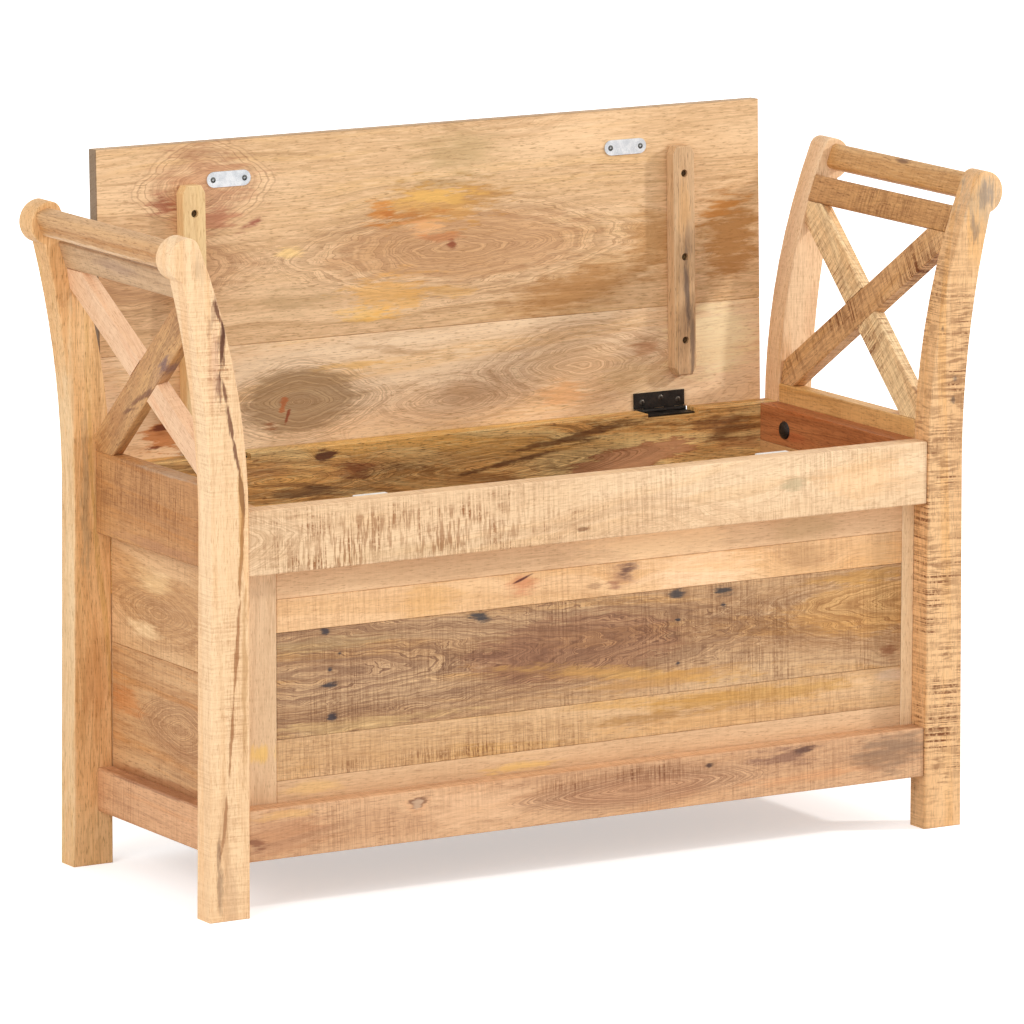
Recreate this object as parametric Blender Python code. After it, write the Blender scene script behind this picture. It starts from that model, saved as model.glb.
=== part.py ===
"""Hall bench: two open end frames, a storage box bolted between them, and a hinged seat lid.

Metres, +Z up, +X to the right of someone facing the bench and +Y to the back. The origin lies
on the floor, at the middle of the bounding box with the lid standing open.
"""

import math

import bmesh
import bpy
from mathutils import Matrix, Vector
from mathutils.geometry import intersect_sphere_sphere_2d

# Fits
GAP = 0.0003                    # between pieces that touch
SCREW_CLEARANCE = 0.0003        # around a shank or a head, on the radius
FRAME_CLEARANCE = 0.0048        # between the lid's ends and the legs

# Overall
LENGTH = 1.000                  # between the outer faces of the legs
DEPTH = 0.3545                  # from the front legs' faces to the rear legs' backs
RIM_HEIGHT = 0.459              # top of the box, under the lid
CARCASS_BOTTOM = 0.063          # underside of the box and of the lowest rails
EASED_EDGE = 0.0012             # chamfer on sawn edges
FINE_EDGE = 0.0006              # chamfer where boards meet flush

# Legs, which flare outwards above the seat and end in a scroll
LEG_WIDTH = 0.0505
LEG_THICKNESS = 0.0315
LEG_WAIST = 0.0036              # outer side's inset where its curve starts
LEG_INNER_RADIUS = 0.82
LEG_OUTER_RADIUS = 1.15
INNER_FLARE_DROP = 0.0312       # the inner curve starts this far below the seat
OUTER_FLARE_DROP = 0.0405       # and the outer curve this far below it
SCROLL_RADIUS = 0.025
SCROLL_RISE = 0.264             # scroll centre above the seat
SCROLL_REACH = 0.023            # scroll centre outside the leg's outer face
SCROLL_EASE = 0.014             # arc that leads the inner curve into the scroll's top
SCROLL_STEPS = 18
EASE_STEPS = 5
FLARE_STEPS = 9

# Arm rails
ARM_RAIL_WIDTH = 0.022
ARM_RAIL_HEIGHT = 0.0305
ARM_RAIL_ROUND = 0.007
ARM_RAIL_SHIFT = 0.0055         # rail centre outside the scroll centre
ARM_RAIL_LIFT = 0.002           # rail centre above the scroll centre
ARM_RAIL_STEPS = 4
LOWER_ARM_RAIL_WIDTH = 0.017
LOWER_ARM_RAIL_HEIGHT = 0.0325
LOWER_ARM_RAIL_DROP = 0.0316    # its centre below the scroll centre
LOWER_ARM_RAIL_ROUND = 0.0025
LOWER_ARM_RAIL_STEPS = 2
LOWER_ARM_RAIL_SETBACK = 0.0005

# Cross braces
BRACE_WIDTH = 0.038
BRACE_THICKNESS = 0.016
BRACE_SETBACK = 0.0025          # behind the legs' inner faces, at the seat
BRACE_TOP_SETBACK = 0.0005      # behind the lower arm rail's inner face
LEFT_RISING_LIFT = -0.003       # above the line from corner to corner of the frame
LEFT_FALLING_LIFT = -0.003
RIGHT_RISING_LIFT = 0.004
RIGHT_FALLING_LIFT = -0.003

# End frame rails
END_RAIL_THICKNESS = 0.0195
SEAT_RAIL_HEIGHT = 0.0945
SEAT_RAIL_RISE = 0.0215         # seat height above the box's rim
LOW_RAIL_HEIGHT = 0.0505

# Front of the box
APRON_HEIGHT = 0.073
APRON_THICKNESS = 0.026
APRON_RECESS = 0.0027           # behind the front legs' faces
BOTTOM_RAIL_HEIGHT = 0.058
PANEL_THICKNESS = 0.012
PANEL_LAP = 0.015               # behind the apron and behind the bottom rail
LEFT_STILE_WIDTH = 0.0505
RIGHT_STILE_WIDTH = 0.0165
TOP_FRAME_SHOW = 0.035          # frame visible under the apron
BOTTOM_FRAME_SHOW = 0.024       # frame visible over the bottom rail
UPPER_PANEL_BOARD = 0.038
LOWER_PANEL_BOARD = 0.0467

# Sides, back and bottom of the box
SIDE_THICKNESS = 0.025
BACK_THICKNESS = 0.0275
BACK_RECESS = 0.0035            # in front of the rear legs' backs
LEFT_UPPER_BOARD = 0.201        # height of the side's upper board, down from the rim
RIGHT_UPPER_BOARD = 0.044
BACK_UPPER_BOARD = 0.146
BOTTOM_THICKNESS = 0.012
BOTTOM_RISE = 0.012             # bottom board above the box's underside
GROOVE_DEPTH = 0.007

# Lid
LID_THICKNESS = 0.016
LID_SHIFT = 0.0015              # to the right
LID_OVERHANG = 0.0065           # past the front legs' faces when closed
LID_REAR_SETBACK = 0.0012       # rear edge in front of the pin, when closed
LID_REAR_BOARD = 0.1215
LID_OPEN_ANGLE = 91.66          # degrees, from closed to leaning back
BATTEN_INSET = 0.1207           # each from the end of the box
BATTEN_SHIFT = 0.0025           # both to the right
BATTEN_WIDTH = 0.029
BATTEN_THICKNESS = 0.0175
BATTEN_REAR_MARGIN = 0.040      # from the lid's rear edge
BATTEN_LENGTH = 0.272
BATTEN_SNIPE = 0.009            # clipped corner along the batten
BATTEN_SNIPE_SIDE = 0.005       # clipped corner across the batten
BATTEN_REAR_SCREW = 0.0415      # from the batten's rear end
BATTEN_FRONT_SCREW = 0.032      # from the batten's front end

# Hinges
HINGE_INSET = 0.1462            # its middle from the end of the box
HINGE_LENGTH = 0.070
LEAF_WIDTH = 0.022              # from the pin's centre
LEAF_THICKNESS = 0.0015
KNUCKLE_RADIUS = 0.0029
KNUCKLE_COUNT = 5
HINGE_PIN_RADIUS = 0.0015
PIN_CLEARANCE = 0.0002
HINGE_SETBACK = 0.0033          # pin behind the back of the box
MORTISE_DEPTH = 0.006
MORTISE_CLEARANCE = 0.0004

# Catches
CATCH_INSET = 0.1832            # each from the end of the box
CATCH_SHIFT = -0.006            # both to the right
CATCH_LENGTH = 0.042
CATCH_DEPTH = 0.016
CATCH_HEIGHT = 0.014
CATCH_DROP = 0.0018             # below the rim
STRIKE_LENGTH = 0.057
STRIKE_WIDTH = 0.018
STRIKE_THICKNESS = 0.0012
STRIKE_STEPS = 8
STRIKE_CLEARANCE = 0.0006       # behind the apron when closed

# Bolts and screws
BOLT_HEAD_RADIUS = 0.011
BOLT_HEAD_HEIGHT = 0.004
BOLT_RADIUS = 0.003
BOLT_BITE = 0.012               # shank inside the end frame's rail
BOLT_INSET = 0.054              # from the box's inner front and back faces
UPPER_BOLT_DROP = 0.025         # below the rim
LOWER_BOLT_RISE = 0.038         # above the box's underside
SCREW_HEAD_RADIUS = 0.0042
SCREW_HEAD_HEIGHT = 0.0022
SCREW_RADIUS = 0.0017
SCREW_SINK = 0.004              # head below the batten's face
SCREW_BITE = 0.010              # shank inside the lid
ROUND_STEPS = 16

# Places that follow from the sizes above
HALF_LENGTH = LENGTH / 2
SEAT_HEIGHT = RIM_HEIGHT + SEAT_RAIL_RISE
LEG_INNER_FACE = HALF_LENGTH - LEG_WIDTH
SCROLL_HEIGHT = SEAT_HEIGHT + SCROLL_RISE
HINGE_RISE = MORTISE_DEPTH / 2
HINGE_HEIGHT = RIM_HEIGHT + GAP - HINGE_RISE
HINGE_PLACE = DEPTH - BACK_RECESS + HINGE_SETBACK
LID_DEPTH = HINGE_PLACE - LID_REAR_SETBACK + LID_OVERHANG
OPEN = math.radians(LID_OPEN_ANGLE)
LID_LEAN = -(LID_REAR_SETBACK + LID_DEPTH) * math.cos(OPEN)
OPEN_REACH = LID_LEAN + (HINGE_RISE + LID_THICKNESS) * math.sin(OPEN)
FRONT = -(HINGE_PLACE + OPEN_REACH) / 2
REAR = FRONT + DEPTH
FRONT_LEG_BACK = FRONT + LEG_THICKNESS
REAR_LEG_FRONT = REAR - LEG_THICKNESS
HINGE_Y = FRONT + HINGE_PLACE
APRON_FRONT = FRONT + APRON_RECESS
APRON_BACK = APRON_FRONT + APRON_THICKNESS
PANEL_FRONT = APRON_BACK + GAP
PANEL_BACK = PANEL_FRONT + PANEL_THICKNESS
BACK_FACE = REAR - BACK_RECESS
BACK_INNER_FACE = BACK_FACE - BACK_THICKNESS
BOX_OUTER = LEG_INNER_FACE - GAP
BOX_INNER = BOX_OUTER - SIDE_THICKNESS
APRON_BOTTOM = RIM_HEIGHT - APRON_HEIGHT
BOTTOM_RAIL_TOP = CARCASS_BOTTOM + BOTTOM_RAIL_HEIGHT
BOARD_BOTTOM = CARCASS_BOTTOM + BOTTOM_RISE
BOARD_TOP = BOARD_BOTTOM + BOTTOM_THICKNESS
BRACE_LIFTS = {
    (-1, -1): LEFT_RISING_LIFT,
    (-1, 1): LEFT_FALLING_LIFT,
    (1, -1): RIGHT_RISING_LIFT,
    (1, 1): RIGHT_FALLING_LIFT,
}

WOOD_ROUGHNESS = 0.55
CREAM = (0.78, 0.58, 0.36)
HONEY = (0.72, 0.48, 0.26)
TAN = (0.62, 0.42, 0.24)
ROSY = (0.70, 0.44, 0.29)
BROWN = (0.45, 0.25, 0.12)


def clear_scene():
    for existing in list(bpy.data.objects):
        bpy.data.objects.remove(existing, do_unlink=True)


def material(name, colour, roughness=WOOD_ROUGHNESS, metallic=0.0):
    finish = bpy.data.materials.new(name)
    finish.use_nodes = True
    shader = finish.node_tree.nodes["Principled BSDF"]
    shader.inputs["Base Color"].default_value = (*colour, 1.0)
    shader.inputs["Roughness"].default_value = roughness
    shader.inputs["Metallic"].default_value = metallic
    return finish


def wood(name, colour):
    return material(name + "_wood", colour)


def steel(name, colour, roughness):
    return material(name + "_steel", colour, roughness, 1.0)


def add_piece(name, mesh_data, finish=None, parent=None):
    """Turn a bmesh into a named object, with its faces pointing out."""
    bmesh.ops.recalc_face_normals(mesh_data, faces=mesh_data.faces)
    mesh = bpy.data.meshes.new(name)
    mesh_data.to_mesh(mesh)
    mesh_data.free()
    piece = bpy.data.objects.new(name, mesh)
    bpy.context.scene.collection.objects.link(piece)
    if finish:
        mesh.materials.append(finish)
    piece.parent = parent
    return piece


def box_mesh(low, high, edge=0.0):
    low, high = Vector(low), Vector(high)
    mesh_data = bmesh.new()
    stretch = Matrix.Diagonal((*(high - low), 1.0))
    place = Matrix.Translation((low + high) / 2)
    bmesh.ops.create_cube(mesh_data, size=1.0, matrix=place @ stretch)
    if edge:
        bmesh.ops.bevel(mesh_data, geom=mesh_data.edges[:], offset=edge, segments=1, affect="EDGES")
    return mesh_data


def prism_mesh(outline, axis, start, end, edge=0.0):
    """Extrude an outline along X, Y or Z. Its points are the other two axes, in that order."""
    mesh_data = bmesh.new()
    corners = []
    for first, second in outline:
        place = [first, second]
        place.insert(axis, start)
        corners.append(mesh_data.verts.new(place))
    face = mesh_data.faces.new(corners)
    extruded = bmesh.ops.extrude_face_region(mesh_data, geom=[face])["geom"]
    shift = [0.0, 0.0, 0.0]
    shift[axis] = end - start
    moved = [item for item in extruded if isinstance(item, bmesh.types.BMVert)]
    bmesh.ops.translate(mesh_data, verts=moved, vec=shift)
    if edge:
        middle = (start + end) / 2
        rims = [
            line for line in mesh_data.edges
            if (line.verts[0].co[axis] - middle) * (line.verts[1].co[axis] - middle) > 0
        ]
        bmesh.ops.bevel(mesh_data, geom=rims, offset=edge, segments=1, affect="EDGES")
    return mesh_data


def turned_mesh(profile, centre, axis, steps=ROUND_STEPS):
    """Turn a profile of (distance along the axis, radius) points round an axis."""
    mesh_data = bmesh.new()
    along = Vector(axis).normalized()
    side = along.orthogonal().normalized()
    up = along.cross(side)
    rings = []
    for distance, radius in profile:
        middle = Vector(centre) + along * distance
        if radius == 0:
            rings.append([mesh_data.verts.new(middle)])
            continue
        ring = []
        for step in range(steps):
            angle = math.tau * step / steps
            spoke = side * math.cos(angle) + up * math.sin(angle)
            ring.append(mesh_data.verts.new(middle + spoke * radius))
        rings.append(ring)
    for ring, following in zip(rings, rings[1:]):
        for step in range(steps):
            after = (step + 1) % steps
            corners = [ring[step % len(ring)], ring[after % len(ring)]]
            corners += [following[after % len(following)], following[step % len(following)]]
            mesh_data.faces.new(list(dict.fromkeys(corners)))
    return mesh_data


def rod_mesh(start, end, radius, steps=ROUND_STEPS):
    start, end = Vector(start), Vector(end)
    length = (end - start).length
    return turned_mesh([(0, 0), (0, radius), (length, radius), (length, 0)], start, end - start, steps)


def combine(piece, tool_meshes, operation):
    """Join or cut a piece with other shapes, one after another, and keep the plain result."""
    for tool_mesh in tool_meshes:
        tool = add_piece(piece.name + "_tool", tool_mesh, parent=piece.parent)
        modifier = piece.modifiers.new("shape", "BOOLEAN")
        modifier.operation = operation
        modifier.solver = "EXACT"
        modifier.object = tool
        bpy.context.view_layer.update()
        view = bpy.context.evaluated_depsgraph_get()
        result = bpy.data.meshes.new_from_object(piece.evaluated_get(view))
        piece.modifiers.remove(modifier)
        bpy.data.objects.remove(tool, do_unlink=True)
        piece.data = result


def cut(piece, tool_meshes):
    combine(piece, tool_meshes, "DIFFERENCE")


def join(piece, tool_meshes):
    combine(piece, tool_meshes, "UNION")


def shade_round(piece, angle=35):
    piece.data.shade_smooth()
    piece.data.set_sharp_from_angle(angle=math.radians(angle))


def side_name(side):
    return "left" if side < 0 else "right"


def outwards(side, out):
    """World X of a point this far outside the legs' outer faces, on one side."""
    return side * (HALF_LENGTH + out)


def arc_rise(radius, height):
    """How far a circle of this radius has curved away at a height above its start."""
    return radius - math.sqrt(radius ** 2 - height ** 2)


def leg_inner_out(height):
    start = SEAT_HEIGHT - INNER_FLARE_DROP
    return -LEG_WIDTH + arc_rise(LEG_INNER_RADIUS, max(0.0, height - start))


def leg_lean(height):
    """Angle of the leg's inner curve from upright."""
    return math.asin((height - SEAT_HEIGHT + INNER_FLARE_DROP) / LEG_INNER_RADIUS)


def arc_points(centre, radius, first, last, steps):
    """Points along an arc between two angles, both ends included."""
    points = []
    for step in range(steps + 1):
        angle = first + (last - first) * step / steps
        points.append((centre.x + radius * math.cos(angle), centre.y + radius * math.sin(angle)))
    return points


def direction(start, end):
    return math.atan2(end.y - start.y, end.x - start.x)


def leg_outline():
    """Points of (out, height), up the inner side, round the scroll and down the outer side."""
    inner_start = SEAT_HEIGHT - INNER_FLARE_DROP
    outer_start = SEAT_HEIGHT - OUTER_FLARE_DROP
    inner_centre = Vector((LEG_INNER_RADIUS - LEG_WIDTH, inner_start))
    outer_centre = Vector((LEG_OUTER_RADIUS - LEG_WAIST, outer_start))
    scroll = Vector((SCROLL_REACH, SCROLL_HEIGHT))
    ease_centres = intersect_sphere_sphere_2d(
        inner_centre, LEG_INNER_RADIUS - SCROLL_EASE, scroll, SCROLL_RADIUS - SCROLL_EASE)
    ease = max(ease_centres, key=lambda point: point.y)
    inner_end = inner_centre + (ease - inner_centre).normalized() * LEG_INNER_RADIUS
    under_scroll = intersect_sphere_sphere_2d(outer_centre, LEG_OUTER_RADIUS, scroll, SCROLL_RADIUS)
    outer_end = min(under_scroll, key=lambda point: point.y)
    points = [(0.0, 0.0), (-LEG_WIDTH, 0.0)]
    for step in range(FLARE_STEPS):
        height = (inner_end.y - inner_start) * step / FLARE_STEPS
        points.append((arc_rise(LEG_INNER_RADIUS, height) - LEG_WIDTH, inner_start + height))
    turn = direction(scroll, ease)
    points += arc_points(ease, SCROLL_EASE, direction(inner_centre, ease), turn, EASE_STEPS)
    points += arc_points(scroll, SCROLL_RADIUS, turn, direction(scroll, outer_end), SCROLL_STEPS)[1:]
    for step in range(FLARE_STEPS - 1, -1, -1):
        height = (outer_end.y - outer_start) * step / FLARE_STEPS
        points.append((arc_rise(LEG_OUTER_RADIUS, height) - LEG_WAIST, outer_start + height))
    return points


def make_leg(name, side, front, colour):
    outline = [(outwards(side, out), height) for out, height in leg_outline()]
    shape = prism_mesh(outline, 1, front, front + LEG_THICKNESS, EASED_EDGE)
    leg = add_piece(name, shape, wood(name, colour))
    shade_round(leg)


def rounded_section(width, height, radius, steps):
    """Points of a rounded rectangle about its centre."""
    points = []
    for quarter, (across, up) in enumerate([(1, 1), (-1, 1), (-1, -1), (1, -1)]):
        centre = Vector((across * (width / 2 - radius), up * (height / 2 - radius)))
        for step in range(steps + 1):
            angle = math.pi / 2 * (quarter + step / steps)
            points.append(centre + Vector((math.cos(angle), math.sin(angle))) * radius)
    return points


def leaning_section(side, section, centre, lean):
    """Place a section whose top leans outwards. Gives (X, Z) points."""
    placed = []
    for across, up in section:
        out = centre[0] + across * math.cos(lean) + up * math.sin(lean)
        height = centre[1] - across * math.sin(lean) + up * math.cos(lean)
        placed.append((outwards(side, out), height))
    return placed


def make_arm_rail(side, colour):
    name = side_name(side) + "_arm_rail"
    section = rounded_section(ARM_RAIL_WIDTH, ARM_RAIL_HEIGHT, ARM_RAIL_ROUND, ARM_RAIL_STEPS)
    centre = (SCROLL_REACH + ARM_RAIL_SHIFT, SCROLL_HEIGHT + ARM_RAIL_LIFT)
    outline = leaning_section(side, section, centre, leg_lean(SCROLL_HEIGHT))
    shape = prism_mesh(outline, 1, FRONT_LEG_BACK + GAP, REAR_LEG_FRONT - GAP)
    shade_round(add_piece(name, shape, wood(name, colour)))


def lower_arm_rail_place():
    """Centre (out, height) and lean of the lower arm rail, set along the leg's inner curve."""
    height = SCROLL_HEIGHT - LOWER_ARM_RAIL_DROP
    lean = leg_lean(height)
    inset = LOWER_ARM_RAIL_SETBACK + LOWER_ARM_RAIL_WIDTH / 2
    centre = (leg_inner_out(height) + inset * math.cos(lean), height - inset * math.sin(lean))
    return centre, lean


def make_lower_arm_rail(side, colour):
    name = side_name(side) + "_lower_arm_rail"
    section = rounded_section(
        LOWER_ARM_RAIL_WIDTH, LOWER_ARM_RAIL_HEIGHT, LOWER_ARM_RAIL_ROUND, LOWER_ARM_RAIL_STEPS)
    centre, lean = lower_arm_rail_place()
    outline = leaning_section(side, section, centre, lean)
    shape = prism_mesh(outline, 1, FRONT_LEG_BACK + GAP, REAR_LEG_FRONT - GAP)
    shade_round(add_piece(name, shape, wood(name, colour)))


def rail_corner(across, up):
    """A corner (out, height) of the lower arm rail's section before its edges are rounded."""
    centre, lean = lower_arm_rail_place()
    across *= LOWER_ARM_RAIL_WIDTH / 2
    up *= LOWER_ARM_RAIL_HEIGHT / 2
    out = centre[0] + across * math.cos(lean) + up * math.sin(lean)
    height = centre[1] - across * math.sin(lean) + up * math.cos(lean)
    return Vector((out, height))


def brace_mesh(side, rising, near, far, spare):
    """A bar from corner to corner of the end frame, between two depths of its plane."""
    foot = Vector((BRACE_SETBACK - LEG_WIDTH, SEAT_HEIGHT))
    head = rail_corner(-1, -1) + Vector((BRACE_TOP_SETBACK, 0.0))
    slope = (head - foot).normalized()
    reach = (head - foot).length
    up = Vector((side * slope.x, 0.0, slope.y))
    out = Vector((side * slope.y, 0.0, -slope.x))
    opening = REAR_LEG_FRONT - FRONT_LEG_BACK
    along = (Vector((0.0, opening, 0.0)) + up * reach * rising).normalized()
    across = out.cross(along)
    middle = Vector((outwards(side, foot.x), (FRONT_LEG_BACK + REAR_LEG_FRONT) / 2, foot.y))
    middle += up * (reach / 2 + BRACE_LIFTS[side, rising])
    half_length = math.hypot(opening, reach) / 2 + BRACE_WIDTH
    half_width = BRACE_WIDTH / 2 + spare
    edge = 0.0 if spare else EASED_EDGE
    bar = box_mesh((-half_length, -half_width, near), (half_length, half_width, far), edge)
    turn = Matrix((along, across, out)).transposed().to_4x4()
    bmesh.ops.transform(bar, matrix=Matrix.Translation(middle) @ turn, verts=bar.verts)
    return bar


def trim(mesh_data, point, outside):
    """Cut a shape off at a plane and close it."""
    everything = mesh_data.verts[:] + mesh_data.edges[:] + mesh_data.faces[:]
    bmesh.ops.bisect_plane(mesh_data, geom=everything, plane_co=point, plane_no=outside, clear_outer=True)
    open_edges = [line for line in mesh_data.edges if line.is_boundary]
    bmesh.ops.holes_fill(mesh_data, edges=open_edges, sides=0)


def make_braces(side, rising_half, rising_colour, falling_colour):
    """Two half-lapped braces. The rising one runs up to the front.

    rising_half is 1 where it is whole on its outer half, and 0 where it is whole on its inner half.
    """
    inner_low = rail_corner(-1, -1)
    outer_low = rail_corner(1, -1)
    rail_face = Vector((side * (inner_low.y - outer_low.y), 0.0, outer_low.x - inner_low.x))
    rail_face.normalize()
    rail_point = Vector((outwards(side, inner_low.x), 0.0, inner_low.y)) - rail_face * GAP
    half = BRACE_THICKNESS / 2
    for rising, word, colour in ((-1, "rising", rising_colour), (1, "falling", falling_colour)):
        name = f"{side_name(side)}_{word}_brace"
        bar = brace_mesh(side, rising, 0.0, BRACE_THICKNESS, 0.0)
        trim(bar, (0, FRONT_LEG_BACK + GAP, 0), (0, -1, 0))
        trim(bar, (0, REAR_LEG_FRONT - GAP, 0), (0, 1, 0))
        trim(bar, (0, 0, SEAT_HEIGHT + GAP), (0, 0, -1))
        trim(bar, rail_point, rail_face)
        brace = add_piece(name, bar, wood(name, colour))
        whole_outside = rising_half if rising < 0 else 1 - rising_half
        low = -half if whole_outside else half - GAP / 2
        high = half + GAP / 2 if whole_outside else BRACE_THICKNESS + half
        cut(brace, [brace_mesh(side, -rising, low, high, GAP)])


def make_board(name, low, high, colour, edge=EASED_EDGE, parent=None):
    return add_piece(name, box_mesh(low, high, edge), wood(name, colour), parent)


def span_x(side, inner, outer):
    return tuple(sorted((side * inner, side * outer)))


def make_end_rails(side, seat_colour, low_colour):
    left, right = span_x(side, LEG_INNER_FACE, LEG_INNER_FACE + END_RAIL_THICKNESS)
    front = FRONT_LEG_BACK + GAP
    back = REAR_LEG_FRONT - GAP
    seat_low = SEAT_HEIGHT - SEAT_RAIL_HEIGHT
    low_top = CARCASS_BOTTOM + LOW_RAIL_HEIGHT
    word = side_name(side)
    seat = make_board(word + "_seat_rail", (left, front, seat_low), (right, back, SEAT_HEIGHT), seat_colour)
    low = make_board(word + "_low_rail", (left, front, CARCASS_BOTTOM), (right, back, low_top), low_colour)
    cut(seat, bolt_holes(side, [upper_bolt_height()]))
    cut(low, bolt_holes(side, [lower_bolt_height()]))


def make_front():
    apron = ((-BOX_OUTER, APRON_FRONT, APRON_BOTTOM), (BOX_OUTER, APRON_BACK, RIM_HEIGHT))
    make_board("front_apron", *apron, CREAM)
    low = (-BOX_OUTER, APRON_FRONT, CARCASS_BOTTOM)
    high = (BOX_OUTER, APRON_BACK, BOTTOM_RAIL_TOP)
    rail = make_board("front_bottom_rail", low, high, ROSY)
    cut(rail, [groove_mesh()])


def make_front_panel():
    bottom = BOTTOM_RAIL_TOP - PANEL_LAP
    top = APRON_BOTTOM + PANEL_LAP
    left = -BOX_OUTER + LEFT_STILE_WIDTH
    right = BOX_OUTER - RIGHT_STILE_WIDTH
    low = BOTTOM_RAIL_TOP + BOTTOM_FRAME_SHOW
    high = APRON_BOTTOM - TOP_FRAME_SHOW
    upper_joint = high - UPPER_PANEL_BOARD
    lower_joint = low + LOWER_PANEL_BOARD
    pieces = (
        ("panel_left_stile", -BOX_OUTER, left - GAP, bottom, top, ROSY),
        ("panel_right_stile", right + GAP, BOX_OUTER, bottom, top, CREAM),
        ("panel_top_frame", left, right, high + GAP, top, ROSY),
        ("panel_bottom_frame", left, right, bottom, low - GAP, TAN),
        ("panel_upper_board", left, right, upper_joint + GAP, high, HONEY),
        ("panel_middle_board", left, right, lower_joint + GAP, upper_joint, TAN),
        ("panel_lower_board", left, right, low, lower_joint, HONEY),
    )
    for name, start, end, floor, ceiling, colour in pieces:
        make_board(name, (start, PANEL_FRONT, floor), (end, PANEL_BACK, ceiling), colour, FINE_EDGE)


def groove_mesh():
    """The space that the bottom board takes in the pieces round it."""
    reach = Vector((GROOVE_DEPTH + GAP, GROOVE_DEPTH + GAP, GAP))
    low = Vector((-BOX_INNER, APRON_BACK, BOARD_BOTTOM)) - reach
    high = Vector((BOX_INNER, BACK_INNER_FACE, BOARD_TOP)) + reach
    return box_mesh(low, high)


def upper_bolt_height():
    return RIM_HEIGHT - UPPER_BOLT_DROP


def lower_bolt_height():
    return CARCASS_BOTTOM + LOWER_BOLT_RISE


def bolt_rows():
    return (APRON_BACK + BOLT_INSET - GAP, BACK_INNER_FACE - BOLT_INSET)


def bolt_end():
    return LEG_INNER_FACE + BOLT_BITE


def bolt_holes(side, heights):
    holes = []
    for height in heights:
        for y in bolt_rows():
            start = (side * (BOX_INNER - SIDE_THICKNESS), y, height)
            end = (side * (bolt_end() + SCREW_CLEARANCE), y, height)
            holes.append(rod_mesh(start, end, BOLT_RADIUS + SCREW_CLEARANCE))
    return holes


def make_box_side(side, upper_height, lower_colour, upper_colour):
    """Two boards, notched round the front panel and grooved for the bottom board."""
    left, right = span_x(side, BOX_INNER, BOX_OUTER)
    joint = RIM_HEIGHT - upper_height
    front = APRON_BACK + GAP
    back = BACK_INNER_FACE - GAP
    word = side_name(side)
    low = (left, front, CARCASS_BOTTOM)
    high = (right, back, joint - GAP)
    lower = make_board(word + "_side_lower_board", low, high, lower_colour, FINE_EDGE)
    low = (left, front, joint)
    high = (right, back, RIM_HEIGHT)
    upper = make_board(word + "_side_upper_board", low, high, upper_colour, FINE_EDGE)
    notch_low = (left - SIDE_THICKNESS, FRONT, BOTTOM_RAIL_TOP - PANEL_LAP - GAP)
    notch_high = (right + SIDE_THICKNESS, PANEL_BACK + GAP, APRON_BOTTOM + PANEL_LAP + GAP)
    cut(lower, [box_mesh(notch_low, notch_high), groove_mesh()])
    cut(lower, bolt_holes(side, [lower_bolt_height()]))
    if joint < notch_high[2]:
        cut(upper, [box_mesh(notch_low, notch_high)])
    cut(upper, bolt_holes(side, [upper_bolt_height()]))


def hinge_x(side):
    return side * (BOX_OUTER - HINGE_INSET)


def mortise_mesh(side):
    """The notch in the back's top edge that a hinge's fixed leaf lies in."""
    reach = HINGE_LENGTH / 2 + MORTISE_CLEARANCE
    low = (hinge_x(side) - reach, BACK_INNER_FACE - BACK_THICKNESS, RIM_HEIGHT - MORTISE_DEPTH)
    high = (hinge_x(side) + reach, BACK_FACE + BACK_THICKNESS, RIM_HEIGHT + MORTISE_DEPTH)
    return box_mesh(low, high)


def make_back():
    joint = RIM_HEIGHT - BACK_UPPER_BOARD
    low = (-BOX_OUTER, BACK_INNER_FACE, CARCASS_BOTTOM)
    lower = make_board("back_lower_board", low, (BOX_OUTER, BACK_FACE, joint - GAP), HONEY, FINE_EDGE)
    cut(lower, [groove_mesh()])
    low = (-BOX_OUTER, BACK_INNER_FACE, joint)
    upper = make_board("back_upper_board", low, (BOX_OUTER, BACK_FACE, RIM_HEIGHT), BROWN, FINE_EDGE)
    cut(upper, [mortise_mesh(-1), mortise_mesh(1)])


def make_bottom():
    low = (-BOX_INNER - GROOVE_DEPTH, APRON_BACK - GROOVE_DEPTH, BOARD_BOTTOM)
    high = (BOX_INNER + GROOVE_DEPTH, BACK_INNER_FACE + GROOVE_DEPTH, BOARD_TOP)
    make_board("bottom_board", low, high, TAN, 0.0)


def make_bolts():
    """Dome-headed bolts through the box's sides into the end frames' rails."""
    finish = steel("bolt", (0.05, 0.05, 0.055), 0.45)
    dome = [
        (BOLT_HEAD_HEIGHT * math.cos(angle), BOLT_HEAD_RADIUS * math.sin(angle))
        for angle in (0, math.radians(35), math.radians(65), math.radians(90))
    ]
    length = bolt_end() - BOX_INNER + GAP
    profile = dome + [(0.0, BOLT_RADIUS), (-length, BOLT_RADIUS), (-length, 0.0)]
    for side in (-1, 1):
        for level, height in (("upper", upper_bolt_height()), ("lower", lower_bolt_height())):
            for row, y in zip(("front", "rear"), bolt_rows()):
                name = f"{side_name(side)}_{level}_{row}_bolt"
                shape = turned_mesh(profile, (side * (BOX_INNER - GAP), y, height), (-side, 0, 0))
                shade_round(add_piece(name, shape, finish))


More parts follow.
